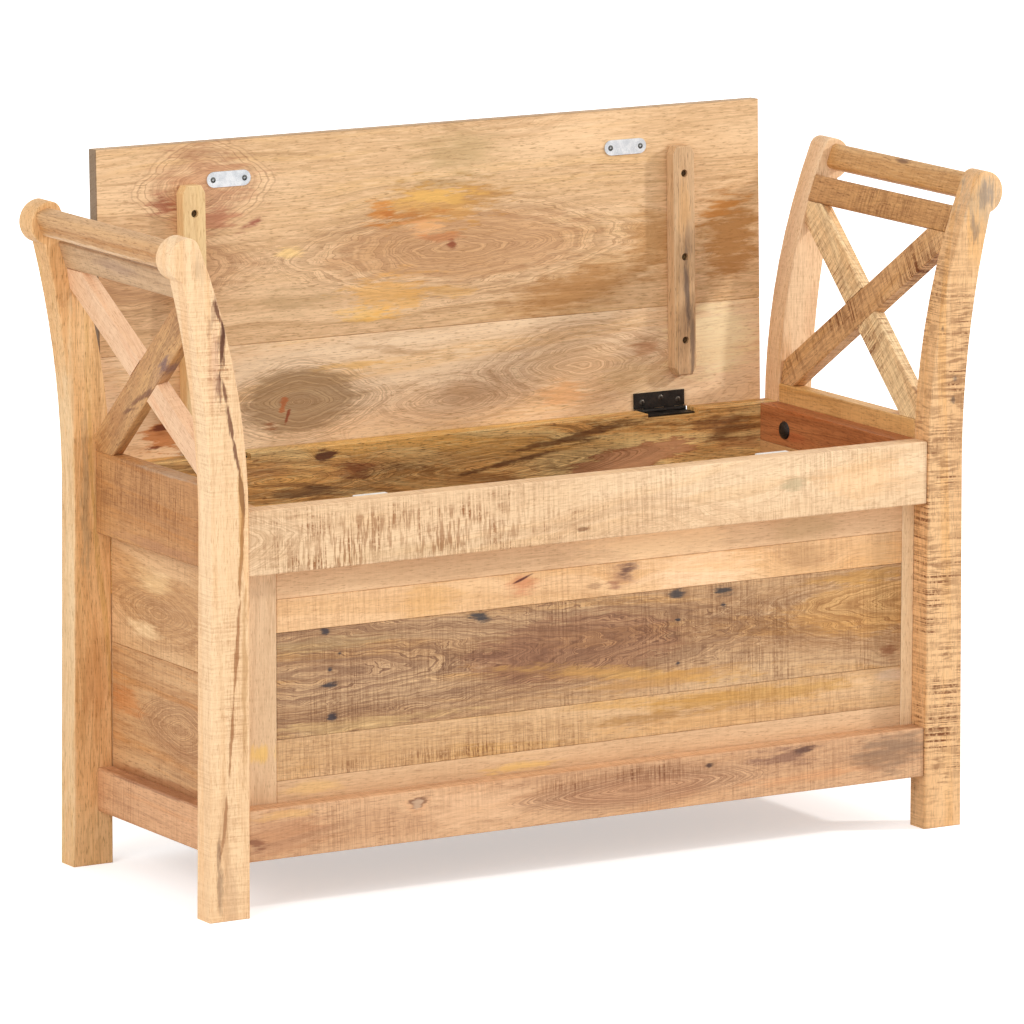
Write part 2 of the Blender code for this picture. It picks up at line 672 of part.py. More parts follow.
def leaf_meshes(first, plate_low, plate_high):
    """A leaf's knuckles and their arms. first is 0 for the leaf with the end knuckles."""
    step = HINGE_LENGTH / KNUCKLE_COUNT
    shapes = []
    for index in range(first, KNUCKLE_COUNT, 2):
        start = -HINGE_LENGTH / 2 + step * index + (GAP / 2 if index else 0)
        end = -HINGE_LENGTH / 2 + step * (index + 1) - (GAP / 2 if index < KNUCKLE_COUNT - 1 else 0)
        shapes.append((start, end))
    inset = LEAF_THICKNESS / 10
    arms = [
        box_mesh(
            (start, -2 * KNUCKLE_RADIUS, plate_low + inset), (end, -HINGE_PIN_RADIUS, plate_high - inset))
        for start, end in shapes
    ]
    barrels = [rod_mesh((start, 0, 0), (end, 0, 0), KNUCKLE_RADIUS) for start, end in shapes]
    return arms + barrels


def make_leaf(name, parent, first, plate_low, plate_high, finish):
    half = HINGE_LENGTH / 2
    plate_edge = -(KNUCKLE_RADIUS + GAP)
    plate = box_mesh((-half, -LEAF_WIDTH, plate_low), (half, plate_edge, plate_high))
    leaf = add_piece(name, plate, finish, parent)
    join(leaf, leaf_meshes(first, plate_low, plate_high))
    bore = rod_mesh((-HINGE_LENGTH, 0, 0), (HINGE_LENGTH, 0, 0), HINGE_PIN_RADIUS + PIN_CLEARANCE)
    cut(leaf, [bore])
    shade_round(leaf)


def empty(name, place, parent=None):
    marker = bpy.data.objects.new(name, None)
    bpy.context.scene.collection.objects.link(marker)
    marker.location = place
    marker.parent = parent
    return marker


def make_hinge(side, lid_axis):
    word = side_name(side)
    dark = steel(word + "_hinge", (0.035, 0.033, 0.03), 0.5)
    x = hinge_x(side)
    fixed = empty(word + "_hinge_place", (x, HINGE_Y, HINGE_HEIGHT))
    moving = empty(word + "_hinge_on_lid", (x, 0, 0), lid_axis)
    floor = RIM_HEIGHT - MORTISE_DEPTH + GAP - HINGE_HEIGHT
    ceiling = HINGE_RISE - GAP
    make_leaf(word + "_box_hinge_leaf", fixed, 0, floor, floor + LEAF_THICKNESS, dark)
    make_leaf(word + "_lid_hinge_leaf", moving, 1, ceiling - LEAF_THICKNESS, ceiling, dark)
    half = HINGE_LENGTH / 2 - GAP
    pin = rod_mesh((-half, 0, 0), (half, 0, 0), HINGE_PIN_RADIUS)
    shade_round(add_piece(word + "_hinge_pin", pin, dark, fixed))


def lid_y(from_rear_edge):
    """Place on the closed lid, measured from the pin."""
    return -LID_REAR_SETBACK - from_rear_edge


def batten_x(side):
    return side * (BOX_OUTER - BATTEN_INSET) + BATTEN_SHIFT


def catch_x(side):
    return side * (BOX_OUTER - CATCH_INSET) + CATCH_SHIFT


def batten_screw_places():
    """Distances of a batten's three screws from the lid's rear edge."""
    rear = BATTEN_REAR_MARGIN + BATTEN_REAR_SCREW
    front = BATTEN_REAR_MARGIN + BATTEN_LENGTH - BATTEN_FRONT_SCREW
    return (rear, (rear + front) / 2, front)


def batten_face():
    return HINGE_RISE - GAP - BATTEN_THICKNESS


def screw_holes(side):
    """Clearance round a batten's three screws, open at the batten's face."""
    holes = []
    radius = SCREW_HEAD_RADIUS + SCREW_CLEARANCE
    shoulder = SCREW_SINK + SCREW_HEAD_HEIGHT + SCREW_CLEARANCE
    shank = SCREW_RADIUS + SCREW_CLEARANCE
    tip = BATTEN_THICKNESS + GAP + SCREW_BITE + SCREW_CLEARANCE
    profile = [
        (-SCREW_SINK, 0), (-SCREW_SINK, radius), (shoulder, radius),
        (shoulder, shank), (tip, shank), (tip, 0),
    ]
    for from_rear in batten_screw_places():
        centre = (batten_x(side), lid_y(from_rear), batten_face())
        holes.append(turned_mesh(profile, centre, (0, 0, 1)))
    return holes


def make_batten(side, lid_axis, colour):
    left = batten_x(side) - BATTEN_WIDTH / 2
    right = left + BATTEN_WIDTH
    rear = lid_y(BATTEN_REAR_MARGIN)
    front = rear - BATTEN_LENGTH
    outline = [
        (left, rear - BATTEN_SNIPE), (left + BATTEN_SNIPE_SIDE, rear),
        (right - BATTEN_SNIPE_SIDE, rear), (right, rear - BATTEN_SNIPE),
        (right, front + BATTEN_SNIPE), (right - BATTEN_SNIPE_SIDE, front),
        (left + BATTEN_SNIPE_SIDE, front), (left, front + BATTEN_SNIPE),
    ]
    name = side_name(side) + "_batten"
    shape = prism_mesh(outline, 2, batten_face(), HINGE_RISE - GAP, EASED_EDGE)
    batten = add_piece(name, shape, wood(name, colour), lid_axis)
    cut(batten, screw_holes(side))


def make_batten_screws(side, lid_axis, finish):
    drive = SCREW_RADIUS
    length = BATTEN_THICKNESS + GAP + SCREW_BITE
    neck = SCREW_SINK + SCREW_HEAD_HEIGHT
    profile = [
        (SCREW_SINK + SCREW_HEAD_HEIGHT / 2, 0), (SCREW_SINK, drive), (SCREW_SINK, SCREW_HEAD_RADIUS),
        (neck, SCREW_HEAD_RADIUS), (neck, SCREW_RADIUS),
        (length, SCREW_RADIUS), (length, 0),
    ]
    for word, from_rear in zip(("rear", "middle", "front"), batten_screw_places()):
        name = f"{side_name(side)}_batten_{word}_screw"
        centre = (batten_x(side), lid_y(from_rear), batten_face())
        shade_round(add_piece(name, turned_mesh(profile, centre, (0, 0, 1)), finish, lid_axis))


def make_strike_plate(side, lid_axis, finish):
    radius = STRIKE_WIDTH / 2
    centre_y = APRON_BACK + STRIKE_CLEARANCE + radius - HINGE_Y
    straight = STRIKE_LENGTH / 2 - radius
    outline = []
    for end, start in ((1, -math.pi / 2), (-1, math.pi / 2)):
        for step in range(STRIKE_STEPS + 1):
            angle = start + math.pi * step / STRIKE_STEPS
            x = catch_x(side) + end * straight + radius * math.cos(angle)
            outline.append((x, centre_y + radius * math.sin(angle)))
    top = HINGE_RISE - GAP
    shape = prism_mesh(outline, 2, top - STRIKE_THICKNESS, top)
    shade_round(add_piece(side_name(side) + "_strike_plate", shape, finish, lid_axis))


def make_lid():
    """The lid's own frame is its closed one. Its empty sits on the pin and turns it open."""
    lid_axis = empty("lid_axis", (0, HINGE_Y, HINGE_HEIGHT))
    lid_axis.rotation_euler = (-OPEN, 0, 0)
    right = LEG_INNER_FACE - FRAME_CLEARANCE + LID_SHIFT
    left = FRAME_CLEARANCE - LEG_INNER_FACE + LID_SHIFT
    top = HINGE_RISE + LID_THICKNESS
    joint = lid_y(LID_REAR_BOARD)
    low = (left, lid_y(LID_DEPTH), HINGE_RISE)
    front = make_board("lid_front_board", low, (right, joint - GAP, top), HONEY, FINE_EDGE, lid_axis)
    low = (left, joint, HINGE_RISE)
    rear = make_board("lid_rear_board", low, (right, lid_y(0), top), HONEY, FINE_EDGE, lid_axis)
    plate_finish = steel("strike_plate", (0.62, 0.64, 0.66), 0.35)
    screw_finish = steel("batten_screw", (0.12, 0.10, 0.09), 0.45)
    for side, colour in ((-1, CREAM), (1, HONEY)):
        rear_hole, middle_hole, front_hole = screw_holes(side)
        cut(rear, [rear_hole])
        cut(front, [middle_hole, front_hole])
        make_batten(side, lid_axis, colour)
        make_batten_screws(side, lid_axis, screw_finish)
        make_strike_plate(side, lid_axis, plate_finish)
        make_hinge(side, lid_axis)


def make_catches():
    finish = material("catch_plastic", (0.8, 0.8, 0.78), 0.4)
    top = RIM_HEIGHT - CATCH_DROP
    for side in (-1, 1):
        left = catch_x(side) - CATCH_LENGTH / 2
        low = (left, APRON_BACK + GAP, top - CATCH_HEIGHT)
        high = (left + CATCH_LENGTH, APRON_BACK + GAP + CATCH_DEPTH, top)
        add_piece(side_name(side) + "_catch", box_mesh(low, high, FINE_EDGE), finish)


def make_end_frames():
    for word, front in (("front", FRONT), ("rear", REAR_LEG_FRONT)):
        make_leg(f"left_{word}_leg", -1, front, CREAM)
        make_leg(f"right_{word}_leg", 1, front, HONEY)
    for side in (-1, 1):
        make_arm_rail(side, HONEY)
        make_lower_arm_rail(side, TAN)
        make_end_rails(side, HONEY, ROSY)
    make_braces(-1, 1, BROWN, ROSY)
    make_braces(1, 0, HONEY, TAN)


def make_bench():
    clear_scene()
    make_end_frames()
    make_front()
    make_front_panel()
    make_box_side(-1, LEFT_UPPER_BOARD, CREAM, HONEY)
    make_box_side(1, RIGHT_UPPER_BOARD, HONEY, BROWN)
    make_back()
    make_bottom()
    make_bolts()
    make_catches()
    make_lid()


make_bench()
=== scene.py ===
"""Hall bench: procedural wood on every board, metal and plastic fittings, small screws, studio and camera."""

import math

import bmesh
import bpy
from mathutils import Matrix, Vector


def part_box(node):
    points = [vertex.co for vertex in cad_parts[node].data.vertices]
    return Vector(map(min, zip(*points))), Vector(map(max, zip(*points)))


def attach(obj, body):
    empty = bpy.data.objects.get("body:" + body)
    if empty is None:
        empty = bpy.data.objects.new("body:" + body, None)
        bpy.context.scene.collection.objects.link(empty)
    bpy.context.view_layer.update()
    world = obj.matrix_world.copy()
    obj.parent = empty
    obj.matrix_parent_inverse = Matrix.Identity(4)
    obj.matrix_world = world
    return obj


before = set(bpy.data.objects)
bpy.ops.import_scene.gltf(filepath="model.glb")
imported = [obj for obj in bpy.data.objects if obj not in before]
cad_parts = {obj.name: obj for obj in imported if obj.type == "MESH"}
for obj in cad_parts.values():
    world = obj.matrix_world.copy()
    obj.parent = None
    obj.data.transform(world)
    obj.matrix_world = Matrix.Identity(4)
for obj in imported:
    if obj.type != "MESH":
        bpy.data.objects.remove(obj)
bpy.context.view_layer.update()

# Places, in metres, as in the model
FRONT = -0.19187                # front legs' faces
HINGE_Y = FRONT + 0.3543
HINGE_HEIGHT = 0.4563
OPEN = math.radians(91.66)
LID_EDGE = 0.4574               # height of the open lid's lower edge
HINGE_OFFSET = 0.303            # from the bench's middle to a hinge's
STRIKE_OFFSET = 0.266           # and to a strike plate's
STRIKE_SHIFT = -0.006           # both plates sit this much to one side
STRIKE_PLACE = 0.3158           # plate's middle, from the pin
LEAF_FACE = 0.0012              # lid leaf's face above the pin, when closed
PLATE_FACE = 0.0015             # strike plate's face above the pin, when closed
BOX_LEAF_SETBACK = 0.002        # box leaf's screws sit further from the pin than the lid leaf's
BOX_LEAF_DROP = 0.0015          # box leaf's face below the pin
LEAF_SCREW = (0.0036, 0.0006)   # a head's radius and rise
PLATE_SCREW = (0.0034, 0.0003)
SCREW_SEAT = 0.0006             # a head reaches this far into the metal
CROSS_DEPTH = 0.0007
SCREW_STEPS = 24

NUMBER = "NodeSocketFloat"
VECTOR = "NodeSocketVector"
COLOUR = "NodeSocketColor"

# Along the grain, across it, and into the board
LENGTHWAYS = ((1, 0, 0), (0, 0, 1), (0, 1, 0))
FRONT_TO_BACK = ((0, 1, 0), (0, 0, 1), (1, 0, 0))
UPRIGHT = ((0, 0, 1), (1, 0, 0), (0, 1, 0))
LYING = ((1, 0, 0), (0, 1, 0), (0, 0, 1))
RISING = ((0, -0.806, 0.592), (0, 0.592, 0.806), (1, 0, 0))
FALLING = ((0, 0.806, 0.592), (0, -0.592, 0.806), (1, 0, 0))


def linear(red, green, blue):
    """Colour for a node from 0 to 255 values as seen on a screen."""
    channels = []
    for value in (red, green, blue):
        value /= 255
        channels.append(value / 12.92 if value <= 0.04045 else ((value + 0.055) / 1.055) ** 2.4)
    return (*channels, 1.0)


class Tree:
    """Short calls for adding nodes to a node tree."""

    def __init__(self, nodes):
        self.nodes = nodes.nodes
        self.links = nodes.links

    def add(self, kind, **settings):
        node = self.nodes.new(kind)
        for name, value in settings.items():
            setattr(node, name, value)
        return node

    def set(self, socket, value):
        if isinstance(value, bpy.types.NodeSocket):
            self.links.new(value, socket)
        else:
            socket.default_value = value

    def math(self, operation, *values, clamp=False):
        node = self.add("ShaderNodeMath", operation=operation, use_clamp=clamp)
        for socket, value in zip(node.inputs, values):
            self.set(socket, value)
        return node.outputs[0]

    def times(self, first, second, clamp=False):
        return self.math("MULTIPLY", first, second, clamp=clamp)

    def minus(self, first, second):
        return self.math("SUBTRACT", first, second)

    def vector(self, operation, *values, output=0):
        node = self.add("ShaderNodeVectorMath", operation=operation)
        for socket, value in zip(node.inputs, values):
            self.set(socket, value)
        return node.outputs[output]

    def noise(self, place, detail=2.0, roughness=0.5, dimensions="3D"):
        node = self.add("ShaderNodeTexNoise", noise_dimensions=dimensions)
        self.set(node.inputs["W" if dimensions == "1D" else "Vector"], place)
        node.inputs["Scale"].default_value = 1.0
        node.inputs["Detail"].default_value = detail
        node.inputs["Roughness"].default_value = roughness
        return node.outputs[0]

    def ease(self, value, low, high):
        """0 below low and 1 above high, or the other way round if low is the larger."""
        node = self.add("ShaderNodeMapRange", interpolation_type="SMOOTHSTEP")
        self.set(node.inputs["Value"], value)
        self.set(node.inputs["From Min"], low)
        self.set(node.inputs["From Max"], high)
        return node.outputs[0]

    def mix(self, amount, first, second, blend="MIX"):
        node = self.add("ShaderNodeMix", data_type="RGBA", blend_type=blend)
        self.set(node.inputs["Factor"], amount)
        self.set(node.inputs[6], first)
        self.set(node.inputs[7], second)
        return node.outputs[2]


def new_group(name, inputs, outputs):
    """A node group with its tree, its input sockets by name, and its output node."""
    group = bpy.data.node_groups.new(name, "ShaderNodeTree")
    for label, kind in inputs:
        group.interface.new_socket(name=label, in_out="INPUT", socket_type=kind)
    for label, kind in outputs:
        group.interface.new_socket(name=label, in_out="OUTPUT", socket_type=kind)
    tree = Tree(group)
    given = {socket.name: socket for socket in tree.add("NodeGroupInput").outputs if socket.name}
    return group, tree, given, tree.add("NodeGroupOutput")


def make_patch_group():
    """A soft or ragged spot on a board, and how far it pushes the grain aside."""
    inputs = [
        ("Place", VECTOR), ("Centre", VECTOR), ("Radius", VECTOR),
        ("Turn", NUMBER), ("Ragged", NUMBER), ("Soft", NUMBER),
    ]
    group, tree, given, result = new_group("patch", inputs, [("Mask", NUMBER), ("Swell", NUMBER)])
    turned = tree.add("ShaderNodeVectorRotate", rotation_type="Z_AXIS")
    tree.set(turned.inputs["Vector"], tree.vector("SUBTRACT", given["Place"], given["Centre"]))
    tree.set(turned.inputs["Angle"], given["Turn"])
    distance = tree.vector("LENGTH", tree.vector("DIVIDE", turned.outputs[0], given["Radius"]), output=1)
    # An edge that frays along the grain
    streaks = tree.noise(tree.vector("MULTIPLY", given["Place"], (26.0, 150.0, 150.0)), 4.0, 0.68)
    fraying = tree.math("MULTIPLY_ADD", given["Ragged"], 1.2, 0.8)
    broken = tree.times(tree.minus(streaks, 0.5), fraying)
    edge = tree.math("ADD", distance, broken)
    tree.set(result.inputs["Mask"], tree.ease(edge, 1.0, tree.minus(1.0, given["Soft"])))
    squared = tree.times(distance, distance)
    tree.set(result.inputs["Swell"], tree.math("EXPONENT", tree.times(squared, -1.0)))
    return group


def make_figure_group():
    """Nested growth lines with pointed ends, as where a board is cut across the rings."""
    inputs = [
        ("Place", VECTOR), ("Centre", VECTOR), ("Radius", VECTOR), ("Count", NUMBER), ("Seed", NUMBER),
    ]
    group, tree, given, result = new_group("figure", inputs, [("Mask", NUMBER)])
    offset = tree.vector("DIVIDE", tree.vector("SUBTRACT", given["Place"], given["Centre"]), given["Radius"])
    parts = tree.add("ShaderNodeSeparateXYZ")
    tree.set(parts.inputs[0], tree.vector("ABSOLUTE", offset))
    # 2 would give ellipses, and 1 lozenges
    pointed = 1.45
    along, across = (tree.math("POWER", part, pointed) for part in parts.outputs[:2])
    summed = tree.math("ADD", along, across)
    distance = tree.math("POWER", summed, 1 / pointed)
    shifted = tree.vector("ADD", given["Place"], tree.vector("MULTIPLY", given["Seed"], (3.0, 5.0, 7.0)))
    wander = tree.noise(tree.vector("MULTIPLY", shifted, (9.0, 34.0, 34.0)), 3.0, 0.55)
    bent = tree.math("MULTIPLY_ADD", wander, 0.34, distance)
    turns = tree.math("MULTIPLY_ADD", bent, given["Count"], given["Seed"])
    bands = tree.ease(tree.noise(turns, 2.0, 0.6, "1D"), 0.40, 0.64)
    thin = tree.noise(tree.times(turns, 2.7), 2.0, 0.6, "1D")
    ridge = tree.math("ABSOLUTE", tree.minus(thin, 0.5))
    lines = tree.math("MAXIMUM", tree.times(bands, 0.65), tree.ease(ridge, 0.07, 0.0))
    tree.set(result.inputs["Mask"], tree.times(lines, tree.ease(bent, 1.25, 0.85)))
    return group


def make_wood_group():
    """Growth rings round a pith line, fibres, pores, colour patches and saw marks."""
    inputs = [
        ("Place", VECTOR), ("Seed", NUMBER), ("Swell", NUMBER), ("Pith", VECTOR), ("Rings", NUMBER),
        ("Wander", NUMBER), ("Light", COLOUR), ("Middle", COLOUR), ("Dark", COLOUR), ("Tint", COLOUR),
        ("Blotch", NUMBER), ("Lines", NUMBER), ("Fibre", NUMBER), ("Saw", NUMBER), ("Teeth", NUMBER),
    ]
    group, tree, given, result = new_group("wood", inputs, [("Color", COLOUR), ("Height", NUMBER)])
    seed_shift = tree.vector("MULTIPLY", given["Seed"], (3.1, 5.7, 7.9))
    shifted = tree.vector("ADD", given["Place"], seed_shift)

    def field(along, across, detail=2.0, roughness=0.5):
        """Noise with so many waves per metre along the grain and across it."""
        return tree.noise(tree.vector("MULTIPLY", shifted, (along, across, across)), detail, roughness)

    # Distance from the pith, in rings
    parts = tree.add("ShaderNodeSeparateXYZ")
    tree.set(parts.inputs[0], given["Place"])
    pith = tree.add("ShaderNodeSeparateXYZ")
    tree.set(pith.inputs[0], given["Pith"])
    across = tree.minus(parts.outputs[1], pith.outputs[0])
    slope = tree.times(parts.outputs[0], pith.outputs[2])
    depth = tree.minus(tree.minus(parts.outputs[2], pith.outputs[1]), slope)
    squares = tree.math("ADD", tree.math("POWER", across, 2.0), tree.math("POWER", depth, 2.0))
    radius = tree.math("SQRT", squares)
    drift = tree.times(tree.minus(field(3.0, 14.0), 0.5), given["Wander"])
    ring = tree.math("ADD", tree.math("ADD", radius, drift), given["Swell"])
    turns = tree.times(ring, given["Rings"])

    def layers(share, detail=2.0):
        """Noise that changes from ring to ring, faster with a larger share."""
        return tree.noise(tree.math("MULTIPLY_ADD", turns, share, given["Seed"]), detail, 0.6, "1D")

    # Broad and narrow growth lines, stronger in some places than in others
    fade = tree.math("MULTIPLY_ADD", tree.ease(field(5.0, 26.0), 0.36, 0.62), 0.75, 0.25)
    lined = tree.times(given["Lines"], fade)
    broad_line = tree.times(tree.ease(layers(1.0), 0.50, 0.68), lined)
    ridge = tree.math("ABSOLUTE", tree.minus(layers(4.3), 0.5))
    narrow_line = tree.times(tree.ease(ridge, 0.05, 0.0), lined)

    # Wide zones of the middle colour and of the tint
    zones = tree.ease(layers(0.17, 3.0), 0.42, 0.60)
    patchy = tree.math("MAXIMUM", zones, tree.ease(field(3.5, 12.0, 3.0, 0.55), 0.42, 0.66))
    spread = tree.ease(field(5.0, 16.0, 3.0), 0.40, 0.60)
    tinted = tree.times(tree.ease(layers(0.31), 0.50, 0.62), spread)
    colour = tree.mix(tree.times(patchy, given["Blotch"]), given["Light"], given["Middle"])
    colour = tree.mix(tree.times(tinted, given["Blotch"]), colour, given["Tint"])
    colour = tree.mix(tree.times(broad_line, 0.60), colour, given["Dark"])
    colour = tree.mix(tree.times(narrow_line, 0.60), colour, given["Dark"])

    # Long fibres, short dark pores and pale threads between them
    threads = tree.times(tree.ease(field(24.0, 420.0, 3.0, 0.65), 0.46, 0.72), 0.55)
    dashes = tree.ease(field(90.0, 700.0, 2.0, 0.6), 0.54, 0.68)
    fibre = tree.times(tree.math("MAXIMUM", threads, dashes), given["Fibre"])
    colour = tree.mix(tree.times(fibre, 0.85), colour, given["Dark"])
    pale = tree.times(tree.ease(field(40.0, 460.0, 3.0, 0.6), 0.49, 0.66), given["Fibre"])
    colour = tree.mix(tree.times(pale, 0.75), colour, given["Light"])

    def cuts(share, across, low, high):
        """Noise that changes with the saw's teeth along the grain, and more slowly across it."""
        bands = tree.add("ShaderNodeCombineXYZ")
        pitch = tree.times(given["Teeth"], share)
        tree.set(bands.inputs[0], tree.times(parts.outputs[0], pitch))
        tree.set(bands.inputs[1], tree.times(parts.outputs[1], across))
        tree.set(bands.inputs[2], tree.math("MULTIPLY_ADD", parts.outputs[2], across, given["Seed"]))
        return tree.ease(tree.noise(bands.outputs[0], 2.0, 0.6), low, high)

    # Saw marks: a fine texture, and separate deep cuts that lean a little
    fine_cuts = cuts(1.0, 38.0, 0.46, 0.62)
    pitch = tree.times(given["Teeth"], 0.55)
    lean = tree.math("MULTIPLY_ADD", parts.outputs[1], 6.0, given["Seed"])
    tooth = tree.noise(tree.math("MULTIPLY_ADD", parts.outputs[0], pitch, lean), 2.0, 0.6, "1D")
    line_cuts = tree.ease(tree.math("ABSOLUTE", tree.minus(tooth, 0.5)), 0.065, 0.0)
    deep_cuts = tree.times(line_cuts, cuts(0.07, 16.0, 0.36, 0.52))
    where = tree.ease(field(8.0, 14.0, 2.0, 0.5), 0.36, 0.60)
    speckle = tree.math("ADD", tree.ease(field(200.0, 240.0, 2.0), 0.38, 0.6), 0.4, clamp=True)
    faint = tree.times(fine_cuts, tree.math("MULTIPLY_ADD", where, 0.30, 0.22))
    uneven = tree.math("MULTIPLY_ADD", where, 0.7, 0.3)
    deep = tree.times(tree.times(deep_cuts, speckle), uneven)
    sawn = tree.times(tree.math("MAXIMUM", faint, deep), given["Saw"], clamp=True)
    stain = tree.mix(1.0, given["Dark"], linear(214, 184, 150), "MULTIPLY")
    colour = tree.mix(sawn, colour, stain)
    tree.set(result.inputs["Color"], colour)
    rough = tree.math("ADD", tree.times(sawn, 1.2), tree.times(fibre, 0.5))
    tree.set(result.inputs["Height"], tree.minus(1.0, rough))
    return group


PATCH = make_patch_group()
FIGURE = make_figure_group()
WOOD = make_wood_group()


def spot(x, z, reach, height, colour, strength=0.8, swell=0.0, ragged=0.9, soft=0.7, turn=0.0):
    """A patch on a board: where, how far it reaches along and across the grain, and its colour."""
    return {
        "kind": "spot", "centre": (x, z, 0.0), "radius": (reach, height, 5.0), "colour": colour,
        "strength": strength, "swell": swell, "ragged": ragged, "soft": soft, "turn": math.radians(turn),
    }


def sawn(x, z, reach, height, strength, soft=0.8):
    """Where a board has stronger saw marks."""
    return {
        "kind": "sawn", "centre": (x, z, 0.0), "radius": (reach, height, 5.0), "strength": strength,
        "ragged": 0.5, "soft": soft, "turn": 0.0,
    }


def figure(x, z, reach, height, count, colour, strength=0.7, seed=0.0):
    """Nested growth lines round a point, drawn in a darker colour."""
    return {
        "kind": "figure", "centre": (x, z, 0.0), "radius": (reach, height, 5.0), "count": count,
        "colour": colour, "strength": strength, "seed": seed,
    }


def knot(x, z, size, colour=(70, 60, 62), stretch=1.5):
    """A dark knot with the grain flowing round it, and a browner rim."""
    rim = spot(x, z, size * stretch * 2.0, size * 1.9, (156, 118, 82), 0.6, size * 0.7, 1.4, 0.9)
    core = spot(x, z, size * stretch * 1.25, size * 1.2, colour, 0.95, 0.0, 1.8, 0.6)
    return [rim, core]


def crooked_line(points, width, colour, strength=0.85):
    """A thin line on an upright board through the given points, each (across, height)."""
    parts = []
    for (x, z), (next_x, next_z) in zip(points, points[1:]):
        # A little over half a step, so that the parts overlap
        reach = math.hypot(next_x - x, next_z - z) * 0.62
        slant = -math.degrees(math.atan2(next_x - x, next_z - z))
        middle = ((z + next_z) / 2, (x + next_x) / 2)
        parts.append(spot(*middle, reach, width, colour, strength, 0.0, 1.6, 0.5, slant))
    return parts


def dress(node, finish):
    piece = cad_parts[node]
    if not piece.material_slots:
        piece.data.materials.append(finish)
    for place in piece.material_slots:
        place.material = finish


def board(
    node, grain, light, middle, dark, tint, marks=(), seed=0.0, pith=(0.0, -0.06, 0.02), rings=190.0,
    wander=0.012, blotch=0.8, lines=0.5, fibre=0.7, saw=0.1, teeth=330.0,
):
    """Give a board its own wood.

    Its marks are patches, figures and sawn places. pith is the rings' middle, across the grain and into
    the board, and then its slope along the grain. rings and teeth are per metre, wander is how far the
    rings stray, and blotch, lines, fibre and saw are strengths.
    """
    finish = bpy.data.materials.new(f"{node}_wood")
    finish.use_nodes = True
    tree = Tree(finish.node_tree)
    shader = tree.nodes["Principled BSDF"]
    here = tree.add("ShaderNodeTexCoord").outputs["Object"]
    place = tree.add("ShaderNodeCombineXYZ")
    for socket, axis in zip(place.inputs, grain):
        tree.set(socket, tree.vector("DOT_PRODUCT", here, axis, output=1))
    place = place.outputs[0]

    made = []
    swell = None
    cuts = saw
    for mark in marks:
        drawn = tree.add("ShaderNodeGroup")
        if mark["kind"] == "figure":
            drawn.node_tree = FIGURE
            values = {"Count": mark["count"], "Seed": mark["seed"]}
        else:
            drawn.node_tree = PATCH
            values = {"Turn": mark["turn"], "Ragged": mark["ragged"], "Soft": mark["soft"]}
        values.update(Place=place, Centre=mark["centre"], Radius=mark["radius"])
        for label, value in values.items():
            tree.set(drawn.inputs[label], value)
        if mark["kind"] == "sawn":
            cuts = tree.math("ADD", tree.times(drawn.outputs["Mask"], mark["strength"]), cuts)
            continue
        made.append((drawn, mark))
        if mark.get("swell"):
            push = tree.times(drawn.outputs["Swell"], mark["swell"])
            swell = push if swell is None else tree.math("ADD", swell, push)

    body = tree.add("ShaderNodeGroup")
    body.node_tree = WOOD
    values = {
        "Place": place, "Seed": seed, "Swell": 0.0 if swell is None else swell, "Pith": pith,
        "Rings": rings, "Wander": wander, "Light": linear(*light), "Middle": linear(*middle),
        "Dark": linear(*dark), "Tint": linear(*tint), "Blotch": blotch, "Lines": lines, "Fibre": fibre,
        "Saw": cuts, "Teeth": teeth,
    }
    for label, value in values.items():
        tree.set(body.inputs[label], value)
    colour = body.outputs["Color"]
    for drawn, mark in made:
        amount = tree.times(drawn.outputs["Mask"], mark["strength"])
        # A patch keeps some of the board's own lines, as the wood's colour over its middle colour
        own_lines = tree.mix(1.0, colour, linear(*middle), "DIVIDE")
        lined_patch = tree.mix(1.0, linear(*mark["colour"]), own_lines, "MULTIPLY")
        grainy = tree.mix(0.55, linear(*mark["colour"]), lined_patch)
        colour = tree.mix(amount, colour, grainy)
    tree.set(shader.inputs["Base Color"], colour)
    worn = tree.ease(body.outputs["Height"], 1.0, 0.2)
    tree.set(shader.inputs["Roughness"], tree.math("MULTIPLY_ADD", worn, 0.22, 0.5))
    shader.inputs["Specular IOR Level"].default_value = 0.35
    bump = tree.add("ShaderNodeBump")
    bump.inputs["Strength"].default_value = 0.35
    bump.inputs["Distance"].default_value = 0.0005
    tree.set(bump.inputs["Height"], body.outputs["Height"])
    tree.set(shader.inputs["Normal"], bump.outputs["Normal"])
    dress(node, finish)


def lid_spot(x, up, *rest):
    """A patch on the open lid, placed by its height over the lid's lower edge."""
    return spot(x, LID_EDGE + up, *rest)


def fitting_material(name, light, dark, metallic, roughness):
    """Metal or plastic with fine mottling and a little unevenness in its gloss."""
    finish = bpy.data.materials.new(name)
    finish.use_nodes = True
    tree = Tree(finish.node_tree)
    shader = tree.nodes["Principled BSDF"]
    here = tree.add("ShaderNodeTexCoord").outputs["Object"]
    fine = tree.noise(tree.vector("MULTIPLY", here, (900.0, 900.0, 900.0)), 3.0, 0.6)
    broad = tree.noise(tree.vector("MULTIPLY", here, (100.0, 100.0, 100.0)), 2.0, 0.5)
    both = tree.math("ADD", tree.times(fine, 0.5), tree.times(broad, 0.5))
    mottle = tree.ease(both, 0.38, 0.62)
    tree.set(shader.inputs["Base Color"], tree.mix(mottle, linear(*light), linear(*dark)))
    tree.set(shader.inputs["Roughness"], tree.math("MULTIPLY_ADD", fine, 0.25, roughness - 0.12))
    shader.inputs["Metallic"].default_value = metallic
    bump = tree.add("ShaderNodeBump")
    bump.inputs["Strength"].default_value = 0.2
    bump.inputs["Distance"].default_value = 0.0001
    tree.set(bump.inputs["Height"], fine)
    tree.set(shader.inputs["Normal"], bump.outputs["Normal"])
    return finish


